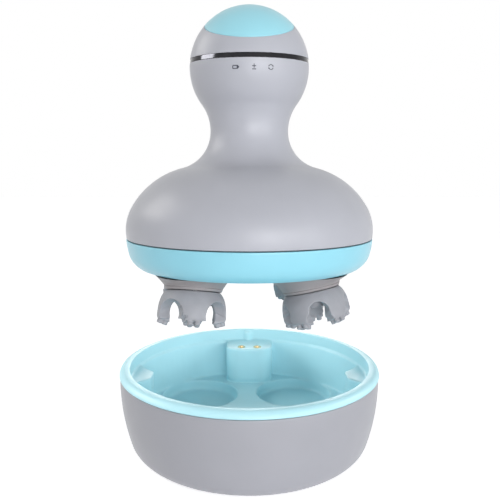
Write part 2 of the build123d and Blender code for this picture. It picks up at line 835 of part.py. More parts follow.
# ---- Massager: gearbox and motor ----

with BuildPart() as gearbox_base:
    disc(Plane.XY, gearbox_radius, gearbox_bottom, seam_z)
    with BuildSketch(Plane.XY.offset(seal_top)):
        with PolarLocations(crank_circle, claw_count, start_angle=first_azimuth):
            Circle(boss_outer)
    extrude(amount=gearbox_bottom - seal_top)
    with BuildSketch(Plane.XY.offset(seam_z)):
        with PolarLocations(post_circle, 4):
            Circle(post_radius)
    extrude(amount=motor_plate_z - seam_z)
    with BuildSketch(Plane.XY.offset(seal_top)):
        with PolarLocations(crank_circle, claw_count, start_angle=first_azimuth):
            Circle(bush_outer)
    extrude(amount=bush_length, mode=Mode.SUBTRACT)
    with BuildSketch(Plane.XY.offset(gearbox_bottom)):
        Circle(sun_axle_radius)
        with PolarLocations(plate_screw_circle, 4):
            Circle(screw_radius)
        with PolarLocations(case_screw_circle, 4):
            Circle(screw_radius + fit_gap)
    extrude(amount=gearbox_thickness, mode=Mode.SUBTRACT)
    with BuildSketch(Plane.XY.offset(motor_plate_z - post_screw_reach - screw_tip_gap)):
        with PolarLocations(post_circle, 4):
            Circle(screw_radius)
    extrude(amount=post_screw_reach + screw_tip_gap, mode=Mode.SUBTRACT)
save(gearbox_base, "gearbox_base")

idler_place = at_angle((0, 0), idler_distance, idler_azimuth)
motor_z = motor_plate_z + motor_plate_thickness
motor_top = motor_z + motor_length

with BuildPart() as motor_plate:
    disc(Plane.XY, motor_plate_radius, motor_plate_z, motor_z, bore=motor_boss_radius)
    with BuildSketch(Plane.XY.offset(motor_plate_z)):
        with PolarLocations(post_circle, 4):
            Circle(screw_radius + fit_gap)
        with Locations(idler_place):
            Circle(idler_axle_radius)
    extrude(amount=motor_plate_thickness, mode=Mode.SUBTRACT)
save(motor_plate, "motor_plate")

with BuildPart() as gearbox_screws:
    for angle in range(0, 360, 90):
        plate_place = at_angle((0, 0), post_circle, angle)
        screw(Plane((*plate_place, 0)), motor_plate_z - post_screw_reach, motor_z)
        case_place = at_angle((0, 0), case_screw_circle, angle)
        screw(Plane((*case_place, 0), z_dir=(0, 0, -1)), -seam_z - case_screw_reach, -gearbox_bottom)
save(gearbox_screws, "gearbox_screws")

with BuildPart() as motor:
    disc(Plane.XY, motor_radius, motor_z, motor_top)
    fillet(motor.edges().group_by(Axis.Z)[-1], 1.5)
    disc(Plane.XY, motor_boss_radius, motor_plate_z, motor_z)
    disc(Plane.XY, motor_cap_radius, motor_top, motor_top + motor_cap_height)
    shaft_bore_top = motor_z + shaft_reach + screw_tip_gap
    disc(Plane.XY, motor_shaft_radius + running_clearance, motor_plate_z, shaft_bore_top, mode=Mode.SUBTRACT)
save(motor, "motor")

with BuildPart() as motor_pinion:
    gear(Plane.XY.offset(top_gear_z), pinion_teeth, fine_module, fine_width, 0, idler_azimuth + 180 / pinion_teeth)
    disc(Plane.XY, motor_shaft_radius, top_gear_z + fine_width, motor_z + shaft_reach)
save(motor_pinion, "motor_pinion")

idler_frame = Plane((idler_place[0], idler_place[1], 0))
idler_turn = idler_azimuth + 180 + 180 / pinion_teeth
idler_bore = idler_axle_radius + running_clearance
hub_radius = fine_module * pinion_teeth / 2 - 1.2 * fine_module

with BuildPart() as idler_gear:
    gear(idler_frame.offset(upper_gear_z), pinion_teeth, fine_module, fine_width, idler_bore, idler_turn)
    disc(idler_frame, hub_radius, upper_gear_z + fine_width, top_gear_z, bore=idler_bore)
    gear(idler_frame.offset(top_gear_z), wheel_teeth, fine_module, fine_width, idler_bore, idler_turn)
save(idler_gear, "idler_gear")

with BuildPart() as idler_axle:
    disc(idler_frame, idler_axle_radius, upper_gear_z - 0.3, motor_z)
    disc(idler_frame, idler_axle_radius + 0.8, upper_gear_z - 0.9, upper_gear_z - 0.3)
save(idler_axle, "idler_axle")

sun_bore = sun_axle_radius + running_clearance

with BuildPart() as sun_gear:
    gear(Plane.XY.offset(gear_z), sun_teeth, coarse_module, output_width, sun_bore, first_azimuth + 180 / sun_teeth)
    disc(Plane.XY, 8, gear_z + output_width, upper_gear_z, bore=sun_bore)
    gear(Plane.XY.offset(upper_gear_z), wheel_teeth, fine_module, fine_width, sun_bore)
save(sun_gear, "sun_gear")

with BuildPart() as sun_axle:
    disc(Plane.XY, sun_axle_radius, gearbox_bottom, upper_gear_z + fine_width + 0.8)
    disc(Plane.XY, sun_axle_radius + 1.2, seam_z, gear_z - 0.2)
    disc(Plane.XY, sun_axle_radius + 0.6, upper_gear_z + fine_width + 0.2, upper_gear_z + fine_width + 0.8)
save(sun_axle, "sun_axle")

with BuildPart() as crank_bushes:
    with BuildSketch(Plane.XY.offset(seal_top)):
        with PolarLocations(crank_circle, claw_count, start_angle=first_azimuth):
            Circle(bush_outer)
            Circle(crank_radius + running_clearance, mode=Mode.SUBTRACT)
    extrude(amount=bush_length)
save(crank_bushes, "crank_bushes")

with BuildPart() as shaft_seals:
    with BuildSketch(Plane.XY.offset(seal_bottom)):
        with PolarLocations(crank_circle, claw_count, start_angle=first_azimuth):
            Circle(boss_outer)
            Circle(crank_radius + 0.1, mode=Mode.SUBTRACT)
    extrude(amount=seal_top - seal_bottom)
save(shaft_seals, "shaft_seals")

# ---- Massager: cranks, boots and claws ----

claw_inner_foot = claw_foot_radius - finger_thickness
claw_tip = claw_foot + finger_thickness * tan(radians(finger_slope))
claw_roof_bottom = claw_top + claw_roof
claw_bore_end = -claw_top - claw_pin_length - claw_bore_gap
nub_circle = (claw_foot_radius + claw_inner_foot) / 2 - 0.1

claw_models = {}

for finger_count in sorted(set(finger_counts)):
    half_pitch = pi / finger_count
    with BuildPart() as claw_model:
        with BuildSketch(Plane.XZ):
            with BuildLine():
                outside = Spline(
                    (claw_top_radius, -claw_top),
                    (claw_widest_radius, -claw_widest),
                    (claw_foot_radius, -claw_foot),
                    tangents=((0.6, -0.6), (-0.3, -0.95)),
                )
                Line(outside @ 1, (claw_inner_foot, -claw_tip))
                inside = Spline(
                    (claw_inner_foot, -claw_tip),
                    (claw_widest_radius - finger_thickness, -claw_widest),
                    (claw_top_radius - finger_thickness + 0.6, -claw_roof_bottom),
                    tangents=((0.3, 0.9), (-0.5, 0.6)),
                )
                Polyline(inside @ 1, (0, -claw_roof_bottom), (0, -claw_top), outside @ 0)
            make_face()
        revolve(axis=Axis.Z)
        disc(Plane.XY, claw_hub_radius, claw_bore_end - claw_hub_floor, -claw_top)
        disc(Plane.XY, claw_pin_radius + running_clearance, claw_bore_end, -claw_top, mode=Mode.SUBTRACT)
        # The gaps widen outwards, so that the finger between two of them keeps its width.
        for index in range(finger_count):
            gap_plane = Plane.YZ.rotated((0, 0, 360 * (index + 0.5) / finger_count))
            for reach in (claw_hub_radius + 1.5, claw_widest_radius + 2):
                crown_radius = reach * tan(radians(crown_spread) / finger_count)
                foot_half_width = (reach * sin(half_pitch) - finger_tip_width / 2) / cos(half_pitch)
                with BuildSketch(gap_plane.offset(reach)):
                    with BuildLine():
                        crown = arc((0, -arch_top - crown_radius), crown_radius, 0, 180)
                        Polyline(
                            crown @ 1,
                            (-foot_half_width, -claw_tip - 1),
                            (foot_half_width, -claw_tip - 1),
                            crown @ 0,
                        )
                    make_face()
            loft(mode=Mode.SUBTRACT)
        for index in range(finger_count):
            around = Location((0, 0, 0), (0, 0, 360 * index / finger_count))
            tip = Location((nub_circle, 0, -(claw_foot + claw_tip) / 2), (0, 180 - finger_slope, 0))
            with BuildSketch(Plane(around * tip)):
                with GridLocations(nub_row_pitch, nub_pitch, 2, 2):
                    Circle(nub_radius)
            extrude(amount=nub_height)
    claw_models[finger_count] = claw_model.part

claw_places = zip(claw_azimuths, lean_azimuths, finger_azimuths, finger_counts)

for number, (azimuth, lean_azimuth, finger_azimuth, finger_count) in enumerate(claw_places, start=1):
    frame = leaning_frame(azimuth, lean_azimuth)
    half_frame = leaning_frame(azimuth, lean_azimuth, 0.5)
    upright = Plane((*crank_place(azimuth), seam_z))
    place = crank_place(azimuth)

    with BuildPart() as output_gear:
        gear(Plane((*place, gear_z)), output_teeth, coarse_module, output_width, crank_radius, azimuth + 180)
    save(output_gear, f"output_gear_{number}")

    with BuildPart() as crank:
        disc(upright, crank_radius, -pivot_drop, gear_lift + output_width + 0.5)
        with Locations((*place, seam_z - pivot_drop)):
            Sphere(knuckle_radius)
        disc(frame, knuckle_radius, -shoulder_length, 0)
        disc(frame, claw_pin_radius, -shoulder_length - claw_pin_length, -shoulder_length)
    save(crank, f"crank_{number}")

    boot_sections = (
        (upright.offset(-ring_drop - running_gap), boot_top_radius),
        (half_frame.offset(-2.8), boot_middle_radius),
        (frame.offset(boot_bead - claw_top + running_gap), boot_foot_radius),
    )
    with BuildPart() as boot:
        for thickness, mode in ((0, Mode.ADD), (boot_wall, Mode.SUBTRACT)):
            for section_plane, radius in boot_sections:
                with BuildSketch(section_plane):
                    Circle(radius - thickness)
            loft(mode=mode)
        bead_low = running_gap - claw_top
        disc(frame, boot_foot_radius, bead_low, bead_low + boot_bead, boot_foot_radius - boot_wall)
    save(boot, f"boot_{number}")

    claw_turn = Rotation(0, 0, finger_azimuth - lean_azimuth)
    with BuildPart() as claw:
        with Locations(frame.location * claw_turn):
            add(claw_models[finger_count])
    save(claw, f"claw_{number}")

# ---- Massager: neck, head and button ----

# The cell fills the neck up to the switch bracket, which leans over it.
bracket_low = (switch_seat - cell_radius * sin(radians(button_tilt))) / cos(radians(button_tilt))
cell_top = head_z + bracket_low - cell_head_room

with BuildPart() as control_board:
    disc(Plane.XY, board_radius, neck_board_z, cradle_z)
    with BuildSketch(Plane.XY.offset(neck_board_z)):
        with PolarLocations(neck_screw_circle, 3, start_angle=30):
            Circle(small_screw_radius)
    extrude(amount=board_thickness, mode=Mode.SUBTRACT)
save(control_board, "control_board")

with BuildPart() as cell_cradle:
    disc(Plane.XY, board_radius, cradle_z, cell_z)
    cradle_bore = cell_radius + fit_gap
    disc(Plane.XY, cradle_bore + cradle_wall, cell_z, cell_top - cradle_step, bore=cradle_bore)
    with BuildSketch(Plane.XY.offset(cradle_z)):
        with PolarLocations(neck_screw_circle, 3, start_angle=30):
            Circle(small_screw_radius)
    extrude(amount=cradle_floor, mode=Mode.SUBTRACT)
save(cell_cradle, "cell_cradle")

with BuildPart() as neck_screws:
    for angle in range(30, 390, 120):
        x, y = at_angle((0, 0), neck_screw_circle, angle)
        screw(Plane((x, y, 0)), neck_flange_z, cell_z, small_screw_radius, small_head_radius, small_head_height)
save(neck_screws, "neck_screws")

with BuildPart() as battery_cell:
    disc(Plane.XY, cell_radius, cell_z, cell_top - cell_cap_height)
    fillet(battery_cell.edges().group_by(Axis.Z)[-1], 0.6)
    disc(Plane.XY, cell_radius * 0.35, cell_top - cell_cap_height, cell_top)
save(battery_cell, "battery_cell")

indicator_z = seam_z + sign_rise - 0.6

with BuildPart() as indicator_board:
    with BuildSketch(Plane.XZ.offset(indicator_depth - 1.2)):
        with Locations(((sign_places[0] + sign_places[2]) / 2 - 0.4, indicator_z - 0.1)):
            Rectangle(sign_places[2] - sign_places[0] + 6, indicator_height)
    extrude(amount=1.2)
save(indicator_board, "indicator_board")

with BuildPart() as light_guides:
    with BuildSketch(Plane.XZ.offset(indicator_depth)):
        with Locations(*[(place, seam_z + sign_rise) for place in sign_places]):
            Circle(light_guide_radius)
    extrude(amount=head_radius - indicator_depth)
    with Locations((0, 0, head_z)):
        Sphere(head_radius - shell_wall, mode=Mode.INTERSECT)
save(light_guides, "light_guides")

bracket_top = switch_seat + bracket_thickness
switch_z = bracket_top + 1.2
plunger_z = switch_z + switch_height

with BuildPart() as switch_bracket:
    disc(button_frame, bracket_radius, switch_seat, bracket_top)
    with BuildSketch(button_frame.offset(switch_seat)):
        with PolarLocations(bracket_screw_circle, 3, start_angle=90):
            Circle(small_screw_radius)
    extrude(amount=bracket_thickness, mode=Mode.SUBTRACT)
save(switch_bracket, "switch_bracket")

with BuildPart() as bracket_screws:
    for angle in range(90, 450, 120):
        corner = button_frame.from_local_coords(Vector(*at_angle((0, 0), bracket_screw_circle, angle), 0))
        screw(
            Plane(corner, z_dir=button_frame.z_dir),
            switch_seat - seat_thickness,
            bracket_top,
            small_screw_radius,
            small_head_radius,
            small_head_height,
        )
save(bracket_screws, "bracket_screws")

with BuildPart() as switch_board:
    disc(button_frame, switch_board_radius, bracket_top, switch_z)
save(switch_board, "switch_board")

with BuildPart() as push_switch:
    with BuildSketch(button_frame.offset(switch_z)):
        Rectangle(switch_size, switch_size)
    extrude(amount=switch_height)
    disc(
        button_frame,
        plunger_radius + running_clearance,
        plunger_z - button_travel - 0.4,
        plunger_z,
        mode=Mode.SUBTRACT,
    )
save(push_switch, "push_switch")

with BuildPart() as switch_plunger:
    disc(button_frame, plunger_radius, plunger_z - 0.3, plunger_z + plunger_height)
save(switch_plunger, "switch_plunger")

with BuildPart() as power_button:
    sphere_zone(button_frame, head_radius, head_radius - button_wall, button_edge, head_radius)
    disc(button_frame, button_radius, button_edge - button_skirt, button_edge, bore=button_radius - 1)
    disc(button_frame, plunger_radius, plunger_z + plunger_height + 0.02, head_radius - button_wall / 2)
save(power_button, "power_button")
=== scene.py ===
from math import acos, asin, atan2, ceil, cos, degrees, hypot, pi, radians, sin, sqrt, tan

import bpy
from mathutils import Euler, Matrix, Vector


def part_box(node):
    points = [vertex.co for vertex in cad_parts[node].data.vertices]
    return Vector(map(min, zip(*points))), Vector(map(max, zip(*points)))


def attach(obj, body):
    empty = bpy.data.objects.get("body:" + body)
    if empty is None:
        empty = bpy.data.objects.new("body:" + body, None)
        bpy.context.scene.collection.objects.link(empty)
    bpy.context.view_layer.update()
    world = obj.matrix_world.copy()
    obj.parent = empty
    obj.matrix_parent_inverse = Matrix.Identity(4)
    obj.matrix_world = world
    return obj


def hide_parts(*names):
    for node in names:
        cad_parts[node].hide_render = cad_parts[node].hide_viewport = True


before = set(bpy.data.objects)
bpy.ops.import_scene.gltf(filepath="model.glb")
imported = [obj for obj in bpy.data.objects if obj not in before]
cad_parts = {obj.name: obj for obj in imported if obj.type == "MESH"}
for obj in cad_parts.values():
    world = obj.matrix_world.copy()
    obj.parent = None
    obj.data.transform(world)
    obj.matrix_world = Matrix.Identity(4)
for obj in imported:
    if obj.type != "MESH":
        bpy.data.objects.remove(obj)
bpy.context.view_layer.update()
mm = 0.001

# Lengths in the dictionaries are millimetres and angles are degrees.
# The pieces are built up from these heights of the frame.
seamGap = 0.44
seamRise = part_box("main_shell")[0].z / mm - seamGap / 2
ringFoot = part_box("lower_ring")[0].z / mm
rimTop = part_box("base_liner")[1].z / mm
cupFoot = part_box("base_shell")[0].z / mm
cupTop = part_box("base_shell")[1].z / mm
weld = 0.003  # vertices closer than this are one


def deselectAll():
    if bpy.context.mode != "OBJECT":
        bpy.ops.object.mode_set(mode="OBJECT")
    bpy.ops.object.select_all(action="DESELECT")


def makeActive(*pieces):
    deselectAll()
    for piece in pieces:
        piece.select_set(True)
    bpy.context.view_layer.objects.active = pieces[0]


def applyPlace(piece):
    makeActive(piece)
    bpy.ops.object.transform_apply(location=True, rotation=True, scale=True)


def placeBy(piece, matrix):
    piece.matrix_world = matrix
    bpy.context.view_layer.update()
    applyPlace(piece)


def bearing(start, end):
    return degrees(atan2(end[1] - start[1], end[0] - start[0]))


def arcPoints(centre, radius, start, end, step=3.0):
    count = max(2, ceil(abs(end - start) / step))  # angles in degrees, both ends included
    angles = [radians(start + (end - start) * index / count) for index in range(count + 1)]
    return [(centre[0] + radius * cos(angle), centre[1] + radius * sin(angle)) for angle in angles]


def roundCorner(before, corner, after, radius, count=4):
    back = Vector(before[:2]) - Vector(corner[:2])
    ahead = Vector(after[:2]) - Vector(corner[:2])
    half = back.angle(ahead) / 2
    room = 0.49 * min(back.length, ahead.length)  # just short of the middle of the shorter side
    reach = min(radius / tan(half), room)
    middle = Vector(corner[:2]) + (back.normalized() + ahead.normalized()).normalized() * reach / cos(half)
    start = Vector(corner[:2]) + back.normalized() * reach
    end = Vector(corner[:2]) + ahead.normalized() * reach
    turn = (start - middle).angle_signed(end - middle)
    spokes = [Matrix.Rotation(-turn * index / count, 2) @ (start - middle) for index in range(count + 1)]
    return [tuple(middle + spoke) for spoke in spokes]


def outlineOf(corners):
    points = []  # a corner is (radius, height) or (radius, height, rounding)
    for index, corner in enumerate(corners):
        if len(corner) == 3:
            after = corners[(index + 1) % len(corners)]
            points += roundCorner(corners[index - 1], corner, after, corner[2])
        else:
            points.append(corner)
    return points + points[:1]


def drawChain(name, points):
    deselectAll()  # one vertex, pulled out from point to point in the XZ plane
    bpy.ops.mesh.primitive_plane_add(size=mm, location=(points[0][0] * mm, 0, points[0][1] * mm))
    piece = bpy.context.object
    piece.name = name
    piece.data.name = name
    bpy.ops.object.mode_set(mode="EDIT")
    bpy.ops.mesh.merge(type="CENTER")
    for before, after in zip(points, points[1:]):
        step = ((after[0] - before[0]) * mm, 0, (after[1] - before[1]) * mm)
        bpy.ops.mesh.extrude_region_move(TRANSFORM_OT_translate={"value": step})
    return piece


def latheSolid(name, outline, steps=216):
    piece = drawChain(name, outline)
    bpy.ops.mesh.select_all(action="SELECT")
    bpy.ops.mesh.spin(steps=steps, angle=2 * pi, center=(0, 0, 0), axis=(0, 0, 1))
    bpy.ops.mesh.select_all(action="SELECT")
    bpy.ops.mesh.remove_doubles(threshold=weld * mm)
    bpy.ops.mesh.normals_make_consistent(inside=False)
    bpy.ops.object.mode_set(mode="OBJECT")
    applyPlace(piece)
    return piece


def prismSolid(name, outline, start, end):
    piece = drawChain(name, outline + outline[:1])  # a flat outline pulled along Y
    bpy.ops.mesh.select_all(action="SELECT")
    bpy.ops.mesh.remove_doubles(threshold=weld * mm)
    bpy.ops.mesh.edge_face_add()
    bpy.ops.transform.translate(value=(0, start * mm, 0))
    bpy.ops.mesh.extrude_region_move(TRANSFORM_OT_translate={"value": (0, (end - start) * mm, 0)})
    bpy.ops.mesh.select_all(action="SELECT")
    bpy.ops.mesh.normals_make_consistent(inside=False)
    bpy.ops.object.mode_set(mode="OBJECT")
    applyPlace(piece)
    return piece


def selectVertices(piece, wanted):
    makeActive(piece)
    bpy.ops.object.mode_set(mode="EDIT")
    bpy.ops.mesh.select_all(action="DESELECT")
    bpy.ops.object.mode_set(mode="OBJECT")
    for vertex in piece.data.vertices:
        vertex.select = wanted(vertex.co)
    bpy.ops.object.mode_set(mode="EDIT")


def applyModifier(piece, kind, **settings):
    makeActive(piece)
    modifier = piece.modifiers.new(kind.lower(), kind)
    for key, value in settings.items():
        setattr(modifier, key, value)
    bpy.ops.object.modifier_apply(modifier=modifier.name)


def cutWith(piece, cutter, operation="DIFFERENCE"):
    applyModifier(piece, "BOOLEAN", operation=operation, solver="EXACT", object=cutter)
    bpy.data.objects.remove(cutter)


def joinInto(piece, others):
    makeActive(piece, *others)
    bpy.ops.object.join()
    return piece


def copyOf(piece, name):
    makeActive(piece)
    bpy.ops.object.duplicate()
    twin = bpy.context.object
    twin.name = name
    twin.data.name = name
    return twin


def cutOffSide(piece, point, normal):
    makeActive(piece)  # removes what lies on the normal's side and closes the wall's two open loops
    bpy.ops.object.mode_set(mode="EDIT")
    bpy.ops.mesh.select_mode(type="EDGE")
    bpy.ops.mesh.select_all(action="SELECT")
    bpy.ops.mesh.bisect(plane_co=point, plane_no=normal, clear_outer=True, clear_inner=False)
    bpy.ops.mesh.select_all(action="DESELECT")
    bpy.ops.mesh.select_non_manifold(
        use_wire=False, use_multi_face=False, use_non_contiguous=False, use_verts=False
    )
    bpy.ops.mesh.bridge_edge_loops()
    bpy.ops.mesh.select_all(action="SELECT")
    bpy.ops.mesh.normals_make_consistent(inside=False)
    bpy.ops.mesh.select_mode(type="VERT")
    bpy.ops.object.mode_set(mode="OBJECT")


def smoothFinish(piece, angle=32):
    makeActive(piece)
    bpy.ops.object.shade_smooth_by_angle(angle=radians(angle))


def install(piece, body, slot, finish, *nodes):
    piece.data.materials.clear()
    piece.data.materials.append(finish)
    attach(piece, body)
    if nodes:
        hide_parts(*nodes)


def linear(colour):
    parts = [value / 255 for value in colour]  # colours are written as sRGB, 0 to 255
    return tuple(part / 12.92 if part < 0.04045 else ((part + 0.055) / 1.055) ** 2.4 for part in parts) + (1,)


def newFinish(name, colour, roughness):
    finish = bpy.data.materials.new(name)
    finish.use_nodes = True
    finish.diffuse_color = linear(colour)
    tree = finish.node_tree
    shader = tree.nodes["Principled BSDF"]
    shader.inputs["Base Color"].default_value = linear(colour)
    shader.inputs["Roughness"].default_value = roughness
    return finish, tree, shader


def noiseOf(tree, pitch, detail=2.0):
    place = tree.nodes.new("ShaderNodeTexCoord")
    noise = tree.nodes.new("ShaderNodeTexNoise")
    noise.inputs["Scale"].default_value = 1 / (pitch * mm)
    noise.inputs["Detail"].default_value = detail
    tree.links.new(place.outputs["Object"], noise.inputs["Vector"])
    return noise


noiseSpan = (0.3, 0.7)  # the part of the noise that is spread over a range


def shifted(colour, amount):
    return tuple(max(0, min(255, value + amount)) for value in colour)


def varyColour(tree, shader, source, colour, tone):
    ramp = tree.nodes.new("ShaderNodeValToRGB")
    ramp.color_ramp.elements[0].position = noiseSpan[0]
    ramp.color_ramp.elements[0].color = linear(shifted(colour, -tone))
    ramp.color_ramp.elements[1].position = noiseSpan[1]
    ramp.color_ramp.elements[1].color = linear(shifted(colour, tone))
    tree.links.new(source.outputs["Fac"], ramp.inputs["Fac"])
    tree.links.new(ramp.outputs["Color"], shader.inputs["Base Color"])


def varyRoughness(tree, shader, source, low, high):
    spread = tree.nodes.new("ShaderNodeMapRange")
    spread.inputs["From Min"].default_value = noiseSpan[0]
    spread.inputs["From Max"].default_value = noiseSpan[1]
    spread.inputs["To Min"].default_value = low
    spread.inputs["To Max"].default_value = high
    tree.links.new(source.outputs["Fac"], spread.inputs["Value"])
    tree.links.new(spread.outputs["Result"], shader.inputs["Roughness"])


def addBump(tree, shader, source, depth):
    bump = tree.nodes.new("ShaderNodeBump")  # depth in mm
    bump.inputs["Distance"].default_value = depth * mm
    bump.inputs["Strength"].default_value = 1.0
    tree.links.new(source.outputs["Fac"], bump.inputs["Height"])
    tree.links.new(bump.outputs["Normal"], shader.inputs["Normal"])


# cloud is the pitch of the colour's change, patch that of the roughness, grain that of the surface
plastic = {"cloud": 22, "patch": 6, "smoother": 0.03, "rougher": 0.04, "coatRoughness": 0.2}
rubber = {"cloud": 5, "patch": 2, "smoother": 0.05, "rougher": 0.06, "grain": 0.35, "depth": 0.012, "tone": 4}
sheen = {"Specular IOR Level": 0.4, "Sheen Weight": 0.12, "Sheen Roughness": 0.5}
metal = {"smoother": 0.8, "rougher": 1.25, "depth": 0.002, "tone": 6}


def mouldedPlastic(name, colour, roughness, tone=2, grain=0.28, depth=0.004, coat=0.0):
    finish, tree, shader = newFinish(name, colour, roughness)
    shader.inputs["Coat Weight"].default_value = coat
    shader.inputs["Coat Roughness"].default_value = plastic["coatRoughness"]
    low = roughness - plastic["smoother"]
    high = roughness + plastic["rougher"]
    varyColour(tree, shader, noiseOf(tree, plastic["cloud"], 3), colour, tone)
    varyRoughness(tree, shader, noiseOf(tree, plastic["patch"], 4), low, high)
    addBump(tree, shader, noiseOf(tree, grain), depth)
    return finish


def softRubber(name, colour, roughness):
    finish, tree, shader = newFinish(name, colour, roughness)
    for socket, value in sheen.items():
        shader.inputs[socket].default_value = value
    low = roughness - rubber["smoother"]
    high = roughness + rubber["rougher"]
    varyColour(tree, shader, noiseOf(tree, rubber["cloud"], 4), colour, rubber["tone"])
    varyRoughness(tree, shader, noiseOf(tree, rubber["patch"], 3), low, high)
    addBump(tree, shader, noiseOf(tree, rubber["grain"], 3), rubber["depth"])
    return finish


def bareMetal(name, colour, roughness, grain):
    finish, tree, shader = newFinish(name, colour, roughness)
    shader.inputs["Metallic"].default_value = 1.0
    source = noiseOf(tree, grain, 3)
    varyColour(tree, shader, source, colour, metal["tone"])
    varyRoughness(tree, shader, source, roughness * metal["smoother"], roughness * metal["rougher"])
    addBump(tree, shader, source, metal["depth"])
    return finish


finishes = {
    "shell_grey": mouldedPlastic("satin shell", (190, 192, 200), 0.36),
    "cup_grey": mouldedPlastic("satin cup", (176, 177, 184), 0.36),
    "liner_blue": mouldedPlastic("pale blue liner", (180, 227, 236), 0.4, grain=0.4),
    "ring_blue": mouldedPlastic("pale blue ring", (155, 227, 245), 0.34, coat=0.15),
    "button_blue": mouldedPlastic("pale blue button", (168, 234, 248), 0.36, coat=0.1),
    "band_chrome": bareMetal("dark chrome", (52, 52, 55), 0.12, 3),
    "dark_rubber": softRubber("dark rubber", (58, 64, 70), 0.6),
    "steel": bareMetal("turned steel", (190, 190, 192), 0.25, 0.4),
    "board_green": mouldedPlastic("lacquered board", (34, 92, 58), 0.35, tone=6),
    "gear_plastic": mouldedPlastic("gear plastic", (232, 228, 214), 0.4),
    "dark_plastic": mouldedPlastic("dark plastic", (44, 44, 48), 0.45),
    "contact_gold": bareMetal("gold plate", (232, 210, 166), 0.2, 0.3),
    "bush_brass": bareMetal("bush brass", (206, 172, 110), 0.3, 0.4),
    "claw_rubber": softRubber("claw silicone", (168, 169, 175), 0.46),
    "boot_rubber": softRubber("boot silicone", (160, 156, 158), 0.5),
    "guide_clear": mouldedPlastic("clear moulding", (214, 216, 220), 0.12, depth=0.001, coat=0.5),
    "cell_sleeve": mouldedPlastic("cell sleeve", (52, 84, 140), 0.25, coat=0.3),
    "inner_plastic": mouldedPlastic("plain moulding", (184, 184, 188), 0.5),
}
signInk = mouldedPlastic("sign ink", (66, 68, 80), 0.45)

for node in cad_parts.values():
    for slot in node.material_slots:
        slot.material = finishes[slot.material.name.split(".")[0]]
print("finishes made and given to the CAD nodes")


body = {
    "headRadius": 26.35,
    "headRise": 74.62,
    "neckRadius": 17.42,
    "neckRise": 47.39,
    "lowerNeckArc": 16.9,
    "shoulderArc": 36.95,
    "rimArc": 21.33,
    "domeRadius": 55.64,
    "widestRise": 3.33,
    "wall": 2.2,
    "edgeRound": 0.35,
    "headStart": 24,
}
headCentre = Vector((0, 0, (seamRise + body["headRise"]) * mm))


def bodyOutline(inset):
    b = body  # the outline's arcs, each tangent to the next, from above the band down to the seam
    head = (0, seamRise + b["headRise"])
    fall = b["headRise"] - b["neckRise"]
    squares = b["headRadius"] ** 2 - b["neckRadius"] ** 2 - fall**2
    upperArc = squares / (2 * (b["neckRadius"] - b["headRadius"]))
    upperNeck = (b["neckRadius"] + upperArc, seamRise + b["neckRise"])
    lowerNeck = (b["neckRadius"] + b["lowerNeckArc"], seamRise + b["neckRise"])
    rim = (b["domeRadius"] - b["rimArc"], seamRise + b["widestRise"])
    span = hypot(lowerNeck[0] - rim[0], lowerNeck[1] - rim[1])
    reach = b["shoulderArc"] - b["rimArc"]
    across = (b["lowerNeckArc"] + b["shoulderArc"]) ** 2
    turn = radians(bearing(rim, lowerNeck)) + acos((reach**2 + span**2 - across) / (2 * reach * span))
    shoulder = (rim[0] + reach * cos(turn), rim[1] + reach * sin(turn))
    headAngle = bearing(head, upperNeck)
    shoulderAngle = bearing(shoulder, lowerNeck)
    rimAngle = bearing(shoulder, rim)
    low = seamRise + seamGap / 2
    lowAngle = degrees(asin((low - rim[1]) / (b["rimArc"] - inset)))
    points = arcPoints(head, b["headRadius"] - inset, b["headStart"], headAngle)
    points += arcPoints(upperNeck, upperArc + inset, headAngle + 180, 180)[1:]
    points += arcPoints(lowerNeck, b["lowerNeckArc"] + inset, 180, shoulderAngle + 180)[1:]
    points += arcPoints(shoulder, b["shoulderArc"] - inset, shoulderAngle, rimAngle, 2)[1:]
    points += arcPoints(rim, b["rimArc"] - inset, rimAngle, lowAngle, 2)[1:]
    return points


band = {
    "rise": 2.7,
    "width": 2.0,
    "tilt": 3.9,
    "inset": 0.12,
    "depth": 2.6,
    "edge": 0.12,
    "slack": 0.02,
}
bandNormal = Vector((0, -sin(radians(band["tilt"])), cos(radians(band["tilt"]))))


def makeShell():
    outside = bodyOutline(0)
    inside = bodyOutline(body["wall"])
    foot = outside[-1]
    rounded = roundCorner(outside[-2], foot, inside[-1], body["edgeRound"])
    shell = latheSolid("massagerShell", outside[:-1] + rounded + inside[::-1] + outside[:1])
    low = band["rise"] - band["width"] / 2
    cutOffSide(shell, headCentre + bandNormal * low * mm, bandNormal)
    smoothFinish(shell)
    install(shell, "massager", "shell_grey", finishes["shell_grey"], "main_shell")
    return shell


def zoneOutline(outer, inner, low, high, edge):
    lowOut = (sqrt(outer**2 - low**2), low)  # a ring cut from a ball by two level planes
    highOut = (sqrt(outer**2 - high**2), high)
    lowIn = (sqrt(inner**2 - low**2), low)
    highIn = (sqrt(inner**2 - high**2), high)
    side = arcPoints((0, 0), outer, bearing((0, 0), lowOut), bearing((0, 0), highOut), 1)
    corners = [lowIn, (*lowOut, edge)] + side[1:-1] + [(*highOut, edge), highIn]
    return outlineOf(corners)


def makeBand():
    outer = body["headRadius"] - band["inset"]
    low = band["rise"] - band["width"] / 2 + band["slack"]
    high = band["rise"] + band["width"] / 2 - band["slack"]
    trim = latheSolid("chromeBand", zoneOutline(outer, outer - band["depth"], low, high, band["edge"]))
    placeBy(trim, Matrix.Translation(headCentre) @ Matrix.Rotation(radians(band["tilt"]), 4, "X"))
    smoothFinish(trim)
    install(trim, "massager", "band_chrome", finishes["band_chrome"], "trim_band")


